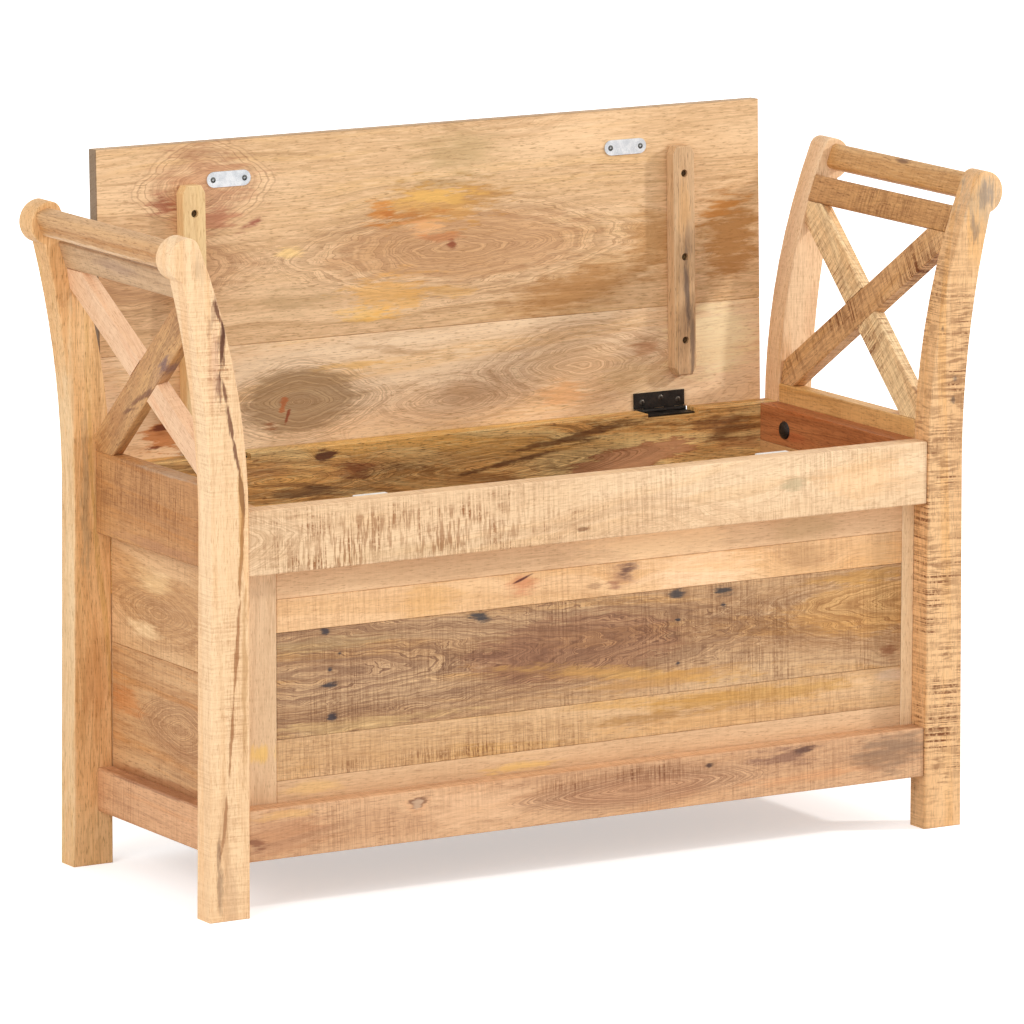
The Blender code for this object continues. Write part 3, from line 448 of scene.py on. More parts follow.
def dress_lid():
    front = [
        lid_spot(-0.303, 0.307, 0.08, 0.054, (204, 152, 110), 0.85, 0, 1.6, 0.8),
        figure(-0.303, LID_EDGE + 0.307, 0.11, 0.07, 5, (152, 98, 66), 0.45, 1),
        lid_spot(-0.325, 0.35, 0.03, 0.012, (188, 138, 96), 0.7, 0, 2, 0.8),
        lid_spot(-0.355, 0.288, 0.022, 0.014, (176, 104, 72), 0.8, 0.004, 2.2, 0.8),
        lid_spot(-0.3, 0.268, 0.055, 0.016, (196, 130, 94), 0.7, 0.004, 2, 0.8),
        lid_spot(-0.24, 0.262, 0.024, 0.006, (158, 84, 62), 0.9, 0, 2, 0.8, -20),
        lid_spot(-0.262, 0.32, 0.04, 0.02, (206, 152, 108), 0.6, 0, 2, 0.8),
        lid_spot(0.035, 0.325, 0.085, 0.036, (196, 162, 112), 0.75, 0, 0.9, 0.9),
        lid_spot(0.01, 0.29, 0.07, 0.012, (170, 134, 84), 0.6, 0, 1.6, 0.8),
        lid_spot(0.035, 0.213, 0.21, 0.05, (205, 156, 108), 0.8, 0, 0.2, 0.35),
        figure(0.035, LID_EDGE + 0.213, 0.3, 0.078, 15, (160, 112, 72), 0.55, 3),
        lid_spot(-0.38, 0.215, 0.17, 0.042, (204, 156, 110), 0.7, 0, 0.2, 0.35),
        figure(-0.4, LID_EDGE + 0.215, 0.24, 0.07, 12, (160, 112, 72), 0.5, 8),
        figure(0.1, LID_EDGE + 0.385, 0.16, 0.06, 9, (180, 132, 88), 0.5, 5),
        lid_spot(-0.195, 0.223, 0.026, 0.008, (244, 204, 134), 0.85, 0, 1.4),
        lid_spot(-0.19, 0.166, 0.09, 0.02, (188, 152, 106), 0.6, 0, 1.2, 0.9),
        lid_spot(0.19, 0.15, 0.15, 0.04, (184, 132, 76), 0.95, 0, 0.6, 0.8, -12),
        lid_spot(0.3, 0.2, 0.05, 0.06, (192, 140, 84), 0.8, 0, 1, 0.8, -30),
        # Partly the board's own darker heartwood colour and partly painted shadow of the right end frame
        lid_spot(0.405, 0.2, 0.065, 0.075, (180, 124, 66), 0.95, 0.012),
        lid_spot(0.395, 0.232, 0.045, 0.014, (222, 156, 82), 0.8, 0, 2, 0.8, -18),
        lid_spot(0, 0.264, 0.085, 0.032, (216, 162, 92), 0.9, -0.01, 1.8, 0.5),
        lid_spot(0.066, 0.272, 0.05, 0.015, (200, 150, 88), 0.8, 0, 2, 0.6),
        lid_spot(-0.074, 0.262, 0.02, 0.02, (214, 142, 66), 0.8, 0, 2.4),
        lid_spot(0.006, 0.274, 0.055, 0.013, (242, 196, 116), 0.8, 0, 2.6),
        lid_spot(-0.03, 0.254, 0.05, 0.009, (196, 126, 62), 0.7, 0, 2.6),
        lid_spot(-0.01, 0.24, 0.036, 0.011, (244, 192, 140), 0.85, 0, 2.2),
        lid_spot(0.01, 0.226, 0.04, 0.006, (206, 136, 84), 0.7, 0, 2.4),
        lid_spot(0.023, 0.217, 0.008, 0.007, (150, 74, 40), 0.9, 0.006, 1.8),
        lid_spot(-0.06, 0.168, 0.07, 0.026, (232, 178, 104), 0.85, 0, 2.4),
        lid_spot(-0.105, 0.146, 0.04, 0.01, (238, 188, 108), 0.8, 0, 2.6),
        lid_spot(0.005, 0.164, 0.06, 0.01, (222, 172, 104), 0.7, 0, 2.4),
        lid_spot(0.22, 0.34, 0.12, 0.034, (240, 198, 150), 0.6, 0, 0.4, 0.8),
    ]
    low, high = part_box("lid_front_board")
    front.append(spot(low[0], LID_EDGE + 0.2, 0.0013, 0.6, (112, 92, 72), 0.85, 0, 0.3, 0.3))
    front.append(spot(0, high[2], 0.8, 0.0013, (170, 134, 96), 0.7, 0, 0.3, 0.3))
    board(
        "lid_front_board", LENGTHWAYS, (246, 208, 162), (222, 180, 132), (164, 120, 72), (232, 190, 136),
        front, seed=2, pith=(0.66, 0.12, 0.03), rings=170, wander=0.03, lines=0.6, fibre=0.75, saw=0)
    rear = [
        lid_spot(-0.183, 0.052, 0.09, 0.044, (182, 146, 102), 0.85, 0, 0.2, 0.35),
        figure(-0.183, LID_EDGE + 0.05, 0.145, 0.06, 9, (150, 108, 70), 0.55, 2),
        lid_spot(-0.205, 0.048, 0.005, 0.014, (214, 128, 74), 0.9, 0, 2, 0.7, 20),
        lid_spot(-0.2, 0.034, 0.003, 0.012, (168, 80, 44), 0.9, 0, 1.4, 0.7, 20),
        lid_spot(-0.222, 0.026, 0.012, 0.007, (176, 112, 68), 0.8, 0, 2),
        lid_spot(-0.12, 0.086, 0.06, 0.006, (240, 190, 118), 0.8, 0, 2.2),
        lid_spot(-0.06, 0.1, 0.09, 0.008, (196, 152, 106), 0.6, 0, 1.6, 0.9, 8),
        lid_spot(0.19, 0.066, 0.09, 0.034, (242, 200, 150), 0.7, 0, 0.3, 0.6),
        figure(0.2, LID_EDGE + 0.062, 0.19, 0.062, 13, (188, 136, 92), 0.6, 4),
        figure(0.02, LID_EDGE + 0.035, 0.13, 0.04, 8, (176, 126, 84), 0.5, 6),
        lid_spot(0.04, 0.04, 0.06, 0.02, (206, 162, 118), 0.6, 0.02, 0.8, 0.8),
        lid_spot(0.17, 0.028, 0.045, 0.018, (242, 184, 126), 0.75, 0, 1.2),
        lid_spot(0.286, 0.074, 0.028, 0.012, (204, 144, 98), 0.7, 0.006, 2.2, 0.8),
        lid_spot(0.275, 0.04, 0.07, 0.03, (244, 206, 152), 0.6, 0, 0.8),
        # Painted pool of light: a cream patch where light falls on the board's right end between the end
        # frame's shadows
        lid_spot(0.375, 0.078, 0.075, 0.056, (255, 228, 178), 0.9, 0, 0.6, 0.5),
        lid_spot(-0.37, 0.05, 0.08, 0.05, (204, 158, 112), 0.7, 0.02, 0.3, 0.9),
        lid_spot(-0.358, 0.024, 0.034, 0.02, (206, 132, 72), 0.9, 0, 2, 0.4),
        lid_spot(-0.366, 0.034, 0.012, 0.004, (128, 66, 34), 0.9, 0, 2.4, 0.6),
        lid_spot(-0.344, 0.02, 0.01, 0.004, (134, 70, 36), 0.9, 0, 2.4, 0.6, 40),
        lid_spot(-0.372, 0.012, 0.014, 0.003, (134, 70, 36), 0.9, 0, 2.4, 0.6),
    ]
    board(
        "lid_rear_board", LENGTHWAYS, (255, 224, 184), (244, 204, 158), (190, 148, 102), (250, 210, 158),
        rear, seed=5, pith=(0.45, 0.02, 0.05), wander=0.02, blotch=0.9, fibre=0.8, saw=0)
    left = [spot(0.55, -0.326, 0.03, 0.02, (222, 180, 120), 0.5)]
    right = [
        spot(0.6, 0.333, 0.07, 0.007, (118, 96, 80), 0.9, 0.004, 0.8, 0.8),
        spot(0.54, 0.34, 0.06, 0.005, (124, 100, 80), 0.8, 0, 1, 0.8),
        spot(0.7, 0.33, 0.05, 0.012, (214, 164, 108), 0.6),
        spot(0.66, 0.336, 0.03, 0.006, (160, 128, 100), 0.6),
    ]
    board(
        "left_batten", UPRIGHT, (240, 208, 154), (226, 190, 136), (196, 152, 100), (236, 200, 140),
        left,
        seed=7, pith=(-0.3, 0.1, 0.02), rings=260, wander=0.006, blotch=0.7, lines=0.4, fibre=0.8,
        saw=0)
    board(
        "right_batten", UPRIGHT, (222, 184, 140), (198, 156, 112), (150, 112, 78), (216, 168, 108),
        right, seed=8, pith=(0.36, 0.12, 0.02), rings=260, wander=0.006, fibre=0.8, saw=0)


def dress_front():
    apron = [
        spot(-0.46, 0.425, 0.1, 0.03, (232, 196, 152), 0.3, 0.03, 0.3, 0.9),
        sawn(-0.25, 0.412, 0.25, 0.05, 0.9, 0.5),
        sawn(-0.3, 0.395, 0.2, 0.02, 0.6),
        figure(-0.5, 0.424, 0.14, 0.055, 8, (170, 122, 78), 0.5, 3),
        figure(0.05, 0.39, 0.2, 0.05, 9, (190, 140, 96), 0.4, 7),
        spot(-0.25, 0.395, 0.2, 0.014, (214, 176, 130), 0.5, 0, 1.2, 0.9),
        spot(0.266, 0.4245, 0.022, 0.012, (166, 146, 106), 0.6, 0.004, 1.2, 0.8),
        spot(-0.018, 0.3995, 0.009, 0.003, (140, 96, 60)),
        spot(0.36, 0.425, 0.08, 0.03, (240, 192, 140), 0.6),
    ]
    board(
        "front_apron", LENGTHWAYS, (248, 214, 172), (234, 196, 152), (178, 134, 92), (240, 200, 152),
        apron,
        seed=11, pith=(0.47, -0.05, 0.05), rings=210, wander=0.02, lines=0.3, fibre=0.5, saw=0.4,
        teeth=280)
    rail = [
        spot(-0.41, 0.092, 0.08, 0.034, (184, 130, 92), 0.7, 0.004, 1.2),
        spot(-0.44, 0.083, 0.02, 0.01, (138, 86, 58), 0.8, 0, 2),
        spot(-0.4, 0.112, 0.05, 0.006, (226, 176, 112), 0.7, 0, 1.8),
        sawn(0.05, 0.105, 0.3, 0.016, 0.6),
        spot(-0.232, 0.103, 0.022, 0.016, (216, 156, 110), 0.6, 0.012, 0.8, 0.8),
        spot(-0.232, 0.105, 0.012, 0.012, (120, 80, 56), 0.85, 0, 2.4, 0.5),
        spot(-0.233, 0.104, 0.008, 0.008, (232, 196, 160), 0.9, 0, 1.8, 0.5),
        spot(-0.15, 0.095, 0.09, 0.03, (236, 190, 146), 0.7, 0.006),
        spot(0.06, 0.09, 0.14, 0.02, (196, 144, 104), 0.75, 0, 0.8, 0.6),
        figure(0.06, 0.092, 0.2, 0.028, 9, (136, 88, 60), 0.7, 2),
        *knot(0.154, 0.107, 0.004, (96, 66, 54), 1.3),
        spot(0.26, 0.107, 0.06, 0.012, (140, 98, 78), 0.75, 0.004, 1.8),
        spot(0.285, 0.112, 0.018, 0.008, (96, 62, 52), 0.7, 0, 2.2),
        spot(0.4, 0.095, 0.07, 0.03, (150, 116, 88), 0.85, 0, 1.2),
        spot(0.3, 0.08, 0.12, 0.008, (216, 156, 108), 0.6, 0, 1.6),
    ]
    board(
        "front_bottom_rail", LENGTHWAYS, (226, 180, 136), (208, 160, 118), (150, 102, 68), (220, 166, 118),
        rail,
        seed=13, pith=(0.03, -0.3, 0.04), rings=180, wander=0.02, fibre=0.6, saw=0.35, teeth=300)


def dress_panel():
    upper = [
        spot(-0.2, 0.332, 0.05, 0.03, (226, 172, 106), 0.6),
        spot(-0.081, 0.338, 0.03, 0.014, (206, 128, 82), 0.7, 0.008, 1),
        spot(-0.081, 0.344, 0.02, 0.0018, (92, 44, 34), 0.95, 0, 0.5, 0.6, -20),
        spot(0.05, 0.336, 0.026, 0.016, (190, 142, 104), 0.8, 0.01, 1.2, 0.8),
        spot(0.056, 0.34, 0.016, 0.01, (112, 76, 62), 0.85, 0, 2, 0.8),
        spot(0.04, 0.326, 0.012, 0.005, (168, 110, 78), 0.7, 0, 2, 0.8),
        spot(0.015, 0.326, 0.012, 0.006, (176, 132, 92), 0.7),
        spot(0.16, 0.335, 0.1, 0.03, (250, 206, 158)),
        spot(0.3, 0.335, 0.045, 0.03, (196, 150, 102), 0.75, 0.01, 0.5, 0.8),
        spot(0.4, 0.33, 0.04, 0.02, (222, 176, 124), 0.6),
    ]
    middle = [
        spot(-0.3, 0.26, 0.12, 0.04, (180, 138, 100), 0.55, 0, 0.9, 0.9),
        spot(-0.01, 0.258, 0.155, 0.042, (176, 128, 90), 0.85, 0, 0.5, 0.25),
        spot(-0.08, 0.252, 0.08, 0.036, (160, 114, 82), 0.7, 0, 1),
        figure(-0.36, 0.262, 0.77, 0.088, 17, (112, 70, 48), 0.75, 9),
        spot(0.4, 0.266, 0.14, 0.036, (214, 160, 92), 0.7, 0, 0.5, 0.3),
        figure(0.58, 0.268, 0.48, 0.085, 17, (142, 92, 46), 0.75, 5),
        spot(0.38, 0.302, 0.09, 0.01, (204, 152, 82), 0.8, 0, 1.4),
        spot(0.05, 0.222, 0.2, 0.01, (216, 166, 94), 0.8, 0, 1.6, 0.8, 8),
        spot(0.12, 0.208, 0.16, 0.012, (198, 146, 84), 0.7, 0, 1.4),
        spot(-0.3, 0.2, 0.16, 0.01, (220, 180, 122), 0.7, 0, 1.8),
        spot(-0.33, 0.295, 0.12, 0.012, (190, 158, 112), 0.6, 0, 1.2),
        spot(0.416, 0.212, 0.022, 0.014, (150, 94, 56), 0.8, 0.006, 2, 0.8),
        sawn(0, 0.26, 0.25, 0.05, 0.45),
        *knot(-0.337, 0.308, 0.0045), *knot(-0.318, 0.282, 0.003), *knot(-0.331, 0.265, 0.0025),
        *knot(-0.333, 0.248, 0.0035, (72, 62, 62), 3), *knot(-0.328, 0.21, 0.0045),
        *knot(-0.137, 0.305, 0.007, (74, 68, 66), 1.8), *knot(0.1255, 0.306, 0.005, (80, 70, 66), 2),
        *knot(0.184, 0.3045, 0.005, (74, 66, 62), 3), *knot(0.188, 0.288, 0.003),
        *knot(0.127, 0.276, 0.0025), *knot(0.127, 0.226, 0.0025),
    ]
    lower = [
        sawn(-0.22, 0.15, 0.22, 0.016, 0.9),
        spot(0.1, 0.166, 0.11, 0.007, (176, 128, 70), 0.7, 0, 1.6),
        spot(0.22, 0.178, 0.2, 0.014, (202, 150, 76), 0.75),
        spot(0.2, 0.155, 0.22, 0.014, (228, 176, 114), 0.6),
        spot(0.42, 0.183, 0.03, 0.01, (212, 178, 146), 0.7),
        spot(-0.3, 0.16, 0.12, 0.018, (206, 160, 112), 0.5),
    ]
    board(
        "panel_upper_board", LENGTHWAYS, (244, 200, 150), (230, 182, 128), (176, 122, 76), (232, 176, 114),
        upper,
        seed=17, pith=(0.28, -0.05, 0.04), rings=180, wander=0.016, lines=0.4, fibre=0.6, saw=0.3,
        teeth=260)
    board(
        "panel_middle_board", LENGTHWAYS, (222, 182, 136), (200, 156, 110), (134, 92, 60), (212, 162, 102),
        middle,
        seed=19, pith=(0.1, 0.02, 0.05), rings=200, wander=0.014, blotch=0.9, saw=0.6, teeth=380)
    board(
        "panel_lower_board", LENGTHWAYS, (232, 190, 142), (214, 170, 120), (150, 106, 68), (222, 172, 106),
        lower, seed=23, pith=(0.05, 0, 0.03), rings=200, blotch=0.9, saw=0.45, teeth=300)
    board(
        "panel_top_frame", LENGTHWAYS, (240, 198, 152), (222, 178, 134), (184, 136, 94), (232, 184, 138),
        [
            spot(0.1, 0.37, 0.14, 0.03, (248, 204, 154), 0.9, 0, 0.5),
            spot(0.3, 0.37, 0.06, 0.03, (206, 166, 120), 0.8, 0.012, 0.5),
            spot(-0.2, 0.37, 0.16, 0.03, (216, 172, 128), 0.6, 0.004, 0.6),
        ],
        seed=29, pith=(0.3, 0.05, 0.02), rings=210, blotch=0.7, lines=0.4, fibre=0.8)
    board(
        "panel_bottom_frame", LENGTHWAYS, (234, 194, 150), (218, 176, 132), (176, 134, 96), (226, 182, 132),
        [
            spot(-0.09, 0.128, 0.06, 0.008, (240, 194, 112), 0.7, 0, 1.2),
            spot(-0.35, 0.133, 0.05, 0.01, (236, 192, 120), 0.5, 0, 1.2),
        ],
        seed=31, pith=(0.04, 0.04, 0.02), rings=210, blotch=0.7, lines=0.4, fibre=0.8)
    board(
        "panel_left_stile", UPRIGHT, (238, 202, 160), (224, 186, 144), (186, 144, 104), (230, 190, 146),
        [spot(0.178, -0.42, 0.014, 0.02, (238, 192, 108), 0.8, 0, 1)],
        seed=37, pith=(-0.35, 0.05, 0.02), rings=210, wander=0.01, blotch=0.7, lines=0.35, fibre=0.8)
    board(
        "panel_right_stile", UPRIGHT, (250, 220, 178), (238, 202, 156), (190, 150, 108), (240, 200, 146),
        seed=41, pith=(0.5, 0.05, 0.02), rings=210, wander=0.01, blotch=0.7, lines=0.35, fibre=0.8)


def dress_box():
    back = [
        spot(-0.169, 0.448, 0.018, 0.009, (84, 32, 20), 0.9, 0.012, 2),
        spot(-0.125, 0.428, 0.036, 0.016, (150, 78, 38), 0.75, 0.016, 2.2),
        spot(-0.2, 0.408, 0.07, 0.01, (92, 52, 26), 0.7, 0.004, 1.6),
        spot(-0.28, 0.436, 0.08, 0.014, (196, 140, 84), 0.6, 0, 1.6),
        spot(0.05, 0.432, 0.1, 0.016, (226, 172, 100), 0.75, 0.01, 1.8),
        spot(0.02, 0.404, 0.12, 0.012, (198, 142, 76), 0.7, 0, 1.8, 0.8, 10),
        spot(0.09, 0.42, 0.12, 0.004, (98, 56, 24), 0.85, 0, 2, 0.8, -8),
        spot(0.17, 0.442, 0.12, 0.008, (104, 60, 28), 0.8, 0.004, 1.8, 0.7, -8),
        spot(0.245, 0.408, 0.095, 0.017, (176, 108, 62), 0.95, 0, 0.8, 0.25, -7),
        spot(0.245, 0.408, 0.088, 0.014, (232, 178, 120), 0.95, 0, 0.8, 0.25, -7),
        figure(0.06, 0.415, 0.26, 0.036, 9, (118, 68, 30), 0.55, 3),
        figure(-0.24, 0.425, 0.22, 0.044, 8, (110, 62, 28), 0.55, 8),
        spot(0.38, 0.436, 0.06, 0.024, (134, 84, 44), 0.8, 0.006, 1.4, 0.8),
        spot(0.4, 0.412, 0.05, 0.01, (196, 132, 76), 0.7, 0, 1.6, 0.8),
    ]
    board(
        "back_upper_board", LENGTHWAYS, (255, 222, 152), (238, 180, 104), (108, 62, 28), (250, 194, 108),
        back,
        seed=43, pith=(0.3, 0.26, 0.1), rings=170, wander=0.045, blotch=1, lines=0.95, fibre=0.8)
    board(
        "back_lower_board", LENGTHWAYS, (226, 182, 132), (206, 160, 110), (150, 104, 66), (214, 166, 110),
        [spot(-0.15, 0.2, 0.2, 0.05, (190, 142, 94), 0.6, 0.04, 0.3, 0.9), *knot(0.2, 0.16, 0.006)],
        seed=47, pith=(0.1, 0, 0.05), rings=150, wander=0.02, saw=0.3)
    board(
        "bottom_board", LYING, (216, 170, 120), (196, 148, 98), (146, 100, 62), (204, 154, 100),
        seed=53, pith=(0.4, -0.2, 0.05), rings=150, wander=0.02, saw=0.3)
    board(
        "right_side_upper_board", FRONT_TO_BACK,
        (206, 134, 82), (176, 106, 60), (112, 62, 34), (190, 108, 56),
        [spot(0.06, 0.43, 0.05, 0.008, (176, 88, 48), 0.6)],
        seed=59, pith=(0.3, 0.5, 0.08), rings=170, wander=0.02, blotch=0.9, lines=0.6)
    board(
        "right_side_lower_board", FRONT_TO_BACK,
        (222, 172, 116), (202, 150, 94), (150, 102, 60), (214, 158, 96),
        seed=61, pith=(0.1, 0.5, 0.08), rings=150, wander=0.02, saw=0.2)
    upper = [
        figure(0.02, 0.31, 0.16, 0.05, 8, (156, 104, 60), 0.6, 6),
        spot(0.03, 0.345, 0.05, 0.02, (238, 196, 140), 0.8, 0.006),
        spot(0.055, 0.285, 0.05, 0.014, (244, 204, 152), 0.85, 0.006),
        spot(-0.04, 0.325, 0.05, 0.04, (196, 146, 96), 0.5),
    ]
    board(
        "left_side_upper_board", FRONT_TO_BACK,
        (232, 188, 138), (210, 160, 108), (162, 112, 70), (220, 168, 112),
        upper, seed=67, pith=(0.25, -0.6, 0.05), wander=0.014, lines=0.45, saw=0.3, teeth=300)
    lower = [
        spot(0.1, 0.195, 0.06, 0.02, (206, 126, 62), 0.6, 0.006),
        figure(-0.03, 0.185, 0.12, 0.045, 9, (148, 94, 54), 0.7, 2),
        spot(0, 0.115, 0.2, 0.01, (166, 104, 60), 0.7, 0, 0.6),
        spot(-0.02, 0.085, 0.2, 0.018, (222, 168, 120), 0.7, 0, 0.4),
    ]
    board(
        "left_side_lower_board", FRONT_TO_BACK,
        (220, 174, 124), (200, 148, 98), (148, 98, 58), (212, 150, 88),
        lower,
        seed=71, pith=(0.02, -0.6, 0.05), wander=0.014, blotch=0.9, lines=0.55, saw=0.25, teeth=300)


def dress_legs():
    front_left = [
        spot(0.735, -0.51, 0.03, 0.012, (206, 170, 130), 0.6, 0, 1.6, 0.8),
        spot(0.69, -0.49, 0.05, 0.008, (176, 136, 104), 0.6, 0, 2.4, 0.8, -20),
        spot(0.665, -0.4815, 0.03, 0.006, (112, 70, 48), 0.85, 0, 2.6, 0.8, -14),
        spot(0.62, -0.4835, 0.045, 0.005, (120, 76, 50), 0.85, 0, 2.6, 0.8, -6),
        spot(0.63, -0.492, 0.06, 0.012, (222, 174, 138), 0.6, 0, 1.8, 0.9),
        *crooked_line(
            [
                (-0.4567, 0.4625), (-0.4607, 0.5002), (-0.469, 0.542), (-0.4771, 0.5834), (-0.4853, 0.6211),
                (-0.4809, 0.6651), (-0.4933, 0.6993),
            ],
            0.0034, (118, 70, 42), 0.9),
        *crooked_line(
            [(-0.488, 0.055), (-0.477, 0.15), (-0.469, 0.25), (-0.462, 0.36), (-0.4567, 0.4625)],
            0.003, (160, 104, 56), 0.8),
        spot(0.45, -0.46, 0.1, 0.005, (206, 152, 84), 0.7, 0, 1.2, 0.8),
        spot(0.3, -0.456, 0.16, 0.005, (188, 138, 84), 0.6, 0, 1.4, 0.8),
        spot(0.1, -0.482, 0.07, 0.01, (206, 160, 116), 0.6, 0, 1.2),
        spot(0.05, -0.488, 0.05, 0.005, (132, 96, 72), 0.6, 0, 1.6),
        spot(0.02, -0.474, 0.05, 0.014, (212, 170, 128), 0.6, 0, 1.2),
        sawn(0.64, -0.488, 0.1, 0.02, 0.6),
        sawn(0.2, -0.47, 0.2, 0.016, 0.3),
    ]
    board(
        "left_front_leg", UPRIGHT, (252, 216, 170), (240, 198, 150), (196, 144, 96), (246, 198, 144),
        front_left,
        seed=73, pith=(-0.4, -0.3, 0.03), rings=230, wander=0.01, blotch=0.7, lines=0.3, fibre=0.6,
        saw=0.28, teeth=360)
    rear_left = [
        spot(0.42, -0.482, 0.12, 0.008, (166, 136, 96), 0.6, 0, 1.6),
        spot(0.22, -0.47, 0.09, 0.02, (206, 146, 88), 0.6, 0.01, 1),
        spot(0.7, -0.492, 0.05, 0.016, (186, 146, 100), 0.6, 0, 1.6),
        spot(0.35, -0.5, 0.45, 0.006, (232, 194, 144), 0.7, 0, 0.6),
    ]
    board(
        "left_rear_leg", UPRIGHT, (244, 198, 142), (226, 172, 112), (164, 118, 66), (222, 176, 106),
        rear_left, seed=79, pith=(-0.4, 0.05, 0.04), rings=230, fibre=0.9)
    front_right = [
        spot(0.73, 0.52, 0.04, 0.03, (200, 168, 132), 0.8, 0, 1.2, 0.8),
        spot(0.738, 0.526, 0.022, 0.016, (140, 120, 102), 0.6, 0, 2.6, 0.8),
        spot(0.7, 0.508, 0.022, 0.01, (132, 110, 92), 0.55, 0, 2.6, 0.8),
        spot(0.59, 0.466, 0.006, 0.004, (96, 74, 58), 0.7, 0, 1.6),
        spot(0.53, 0.485, 0.007, 0.005, (112, 96, 84), 0.7, 0, 1.6),
        spot(0.505, 0.482, 0.006, 0.004, (104, 84, 68), 0.7, 0, 1.6),
        sawn(0.45, 0.48, 0.42, 0.06, 0.8, 0.6),
        sawn(0.1, 0.48, 0.1, 0.06, 0.7),
    ]
    board(
        "right_front_leg", UPRIGHT, (244, 198, 144), (226, 176, 122), (146, 102, 66), (234, 178, 112),
        front_right,
        seed=83, pith=(0.56, -0.3, 0.02), rings=200, wander=0.008, lines=0.25, fibre=0.5, saw=0.35,
        teeth=250)
    board(
        "right_rear_leg", UPRIGHT, (244, 206, 162), (230, 186, 142), (180, 132, 88), (232, 184, 132),
        [spot(0.55, 0.5, 0.06, 0.02, (216, 166, 122), 0.5)],
        seed=89, pith=(0.56, 0.4, 0.02), rings=210, lines=0.35, saw=0.15)


def dress_end_frames():
    board(
        "left_arm_rail", FRONT_TO_BACK, (220, 174, 122), (198, 146, 94), (140, 92, 52), (196, 138, 78),
        [spot(0, 0.732, 0.2, 0.006, (234, 196, 154), 0.7)],
        seed=97, pith=(0.9, -0.6, 0.03), rings=220, wander=0.01, blotch=0.9, fibre=0.8, saw=0.2,
        teeth=260)
    board(
        "left_lower_arm_rail", FRONT_TO_BACK,
        (216, 178, 136), (196, 156, 114), (146, 110, 78), (190, 158, 112),
        [spot(0, 0.71, 0.08, 0.012, (162, 128, 104), 0.5, 0.004)],
        seed=101, pith=(0.9, -0.4, 0.03), rings=210, wander=0.01, blotch=0.9, fibre=0.8, saw=0.2)
    board(
        "right_arm_rail", FRONT_TO_BACK, (226, 178, 120), (204, 152, 92), (140, 92, 50), (212, 156, 90),
        [spot(-0.02, 0.76, 0.02, 0.004, (110, 70, 40))],
        seed=103, pith=(0.9, 0.5, 0.03), rings=210, blotch=0.9, lines=0.55, fibre=0.8, saw=0.25,
        teeth=260)
    board(
        "right_lower_arm_rail", FRONT_TO_BACK,
        (220, 168, 108), (194, 142, 88), (124, 78, 44), (206, 150, 88),
        seed=107, pith=(0.9, 0.3, 0.03), rings=200, blotch=0.9, lines=0.55, fibre=0.8, saw=0.8,
        teeth=260)
    seat = [
        spot(-0.05, 0.4795, 0.12, 0.003, (176, 150, 124), 0.6),
        spot(-0.03, 0.392, 0.16, 0.01, (172, 118, 80), 0.5),
    ]
    board(
        "left_seat_rail", FRONT_TO_BACK, (206, 150, 94), (184, 128, 76), (130, 80, 48), (196, 132, 70),
        seat, seed=109, pith=(0.7, -0.2, 0.04), rings=210, lines=0.4, fibre=0.6, saw=0.6)
    board(
        "right_seat_rail", FRONT_TO_BACK, (236, 188, 122), (212, 162, 98), (156, 108, 60), (220, 166, 94),
        seed=113, pith=(0.7, 0.2, 0.04), rings=200, blotch=0.9, saw=0.2)
    board(
        "left_low_rail", FRONT_TO_BACK, (232, 180, 134), (214, 160, 114), (160, 106, 68), (222, 162, 112),
        [spot(0, 0.1128, 0.18, 0.003, (150, 96, 62), 0.7)],
        seed=127, pith=(0.3, -0.3, 0.04), lines=0.45, fibre=0.6, saw=0.4, teeth=300)
    board(
        "right_low_rail", FRONT_TO_BACK, (228, 180, 132), (208, 158, 110), (156, 106, 68), (214, 162, 108),
        seed=131, pith=(0.3, 0.3, 0.04), lines=0.45, fibre=0.6, saw=0.3, teeth=300)
    # Along a rising brace: 0.592 z - 0.806 y; across it: 0.592 y + 0.806 z
    rising = [
        spot(0.4166, 0.4473, 0.02, 0.012, (112, 82, 82), 0.8, 0.01, 1.8, 0.8),
        spot(0.399, 0.44, 0.05, 0.02, (176, 128, 92), 0.6, 0.012, 1, 0.8),
        spot(0.34, 0.45, 0.05, 0.004, (120, 70, 42), 0.8, 0, 1.6, 0.8, 12),
        spot(0.295, 0.456, 0.03, 0.003, (112, 64, 40), 0.8, 0, 1.6, 0.8, 20),
        spot(0.26, 0.46, 0.04, 0.02, (180, 124, 74), 0.6, 0, 1.2, 0.8),
    ]
    board(
        "left_rising_brace", RISING, (216, 166, 108), (192, 138, 86), (126, 80, 48), (180, 124, 72),
        rising,
        seed=137, pith=(0.6, -0.3, 0.02), rings=150, wander=0.02, blotch=0.9, lines=0.6, fibre=0.8,
        saw=0.25)
    board(
        "left_falling_brace", FALLING, (246, 206, 166), (234, 188, 146), (192, 138, 100), (238, 184, 140),
        seed=139, pith=(0.6, -0.3, 0.02), rings=200, wander=0.01, lines=0.35, saw=0.2)
    board(
        "right_rising_brace", RISING, (234, 188, 134), (212, 162, 110), (138, 92, 56), (218, 166, 106),
        seed=149, pith=(0.6, 0.3, 0.02), lines=0.45, saw=1.1, teeth=240)
    board(
        "right_falling_brace", FALLING, (255, 224, 172), (248, 202, 146), (154, 106, 66), (250, 200, 136),
        seed=151, pith=(0.6, 0.3, 0.02), lines=0.4, saw=0.9, teeth=240)


def lid_place(x, from_pin, height):
    """A point on the lid, given as on the closed lid, where the open lid has it."""
    turned = Matrix.Rotation(-OPEN, 3, "X") @ Vector((0.0, -from_pin, height))
    return Vector((x, HINGE_Y, HINGE_HEIGHT)) + turned


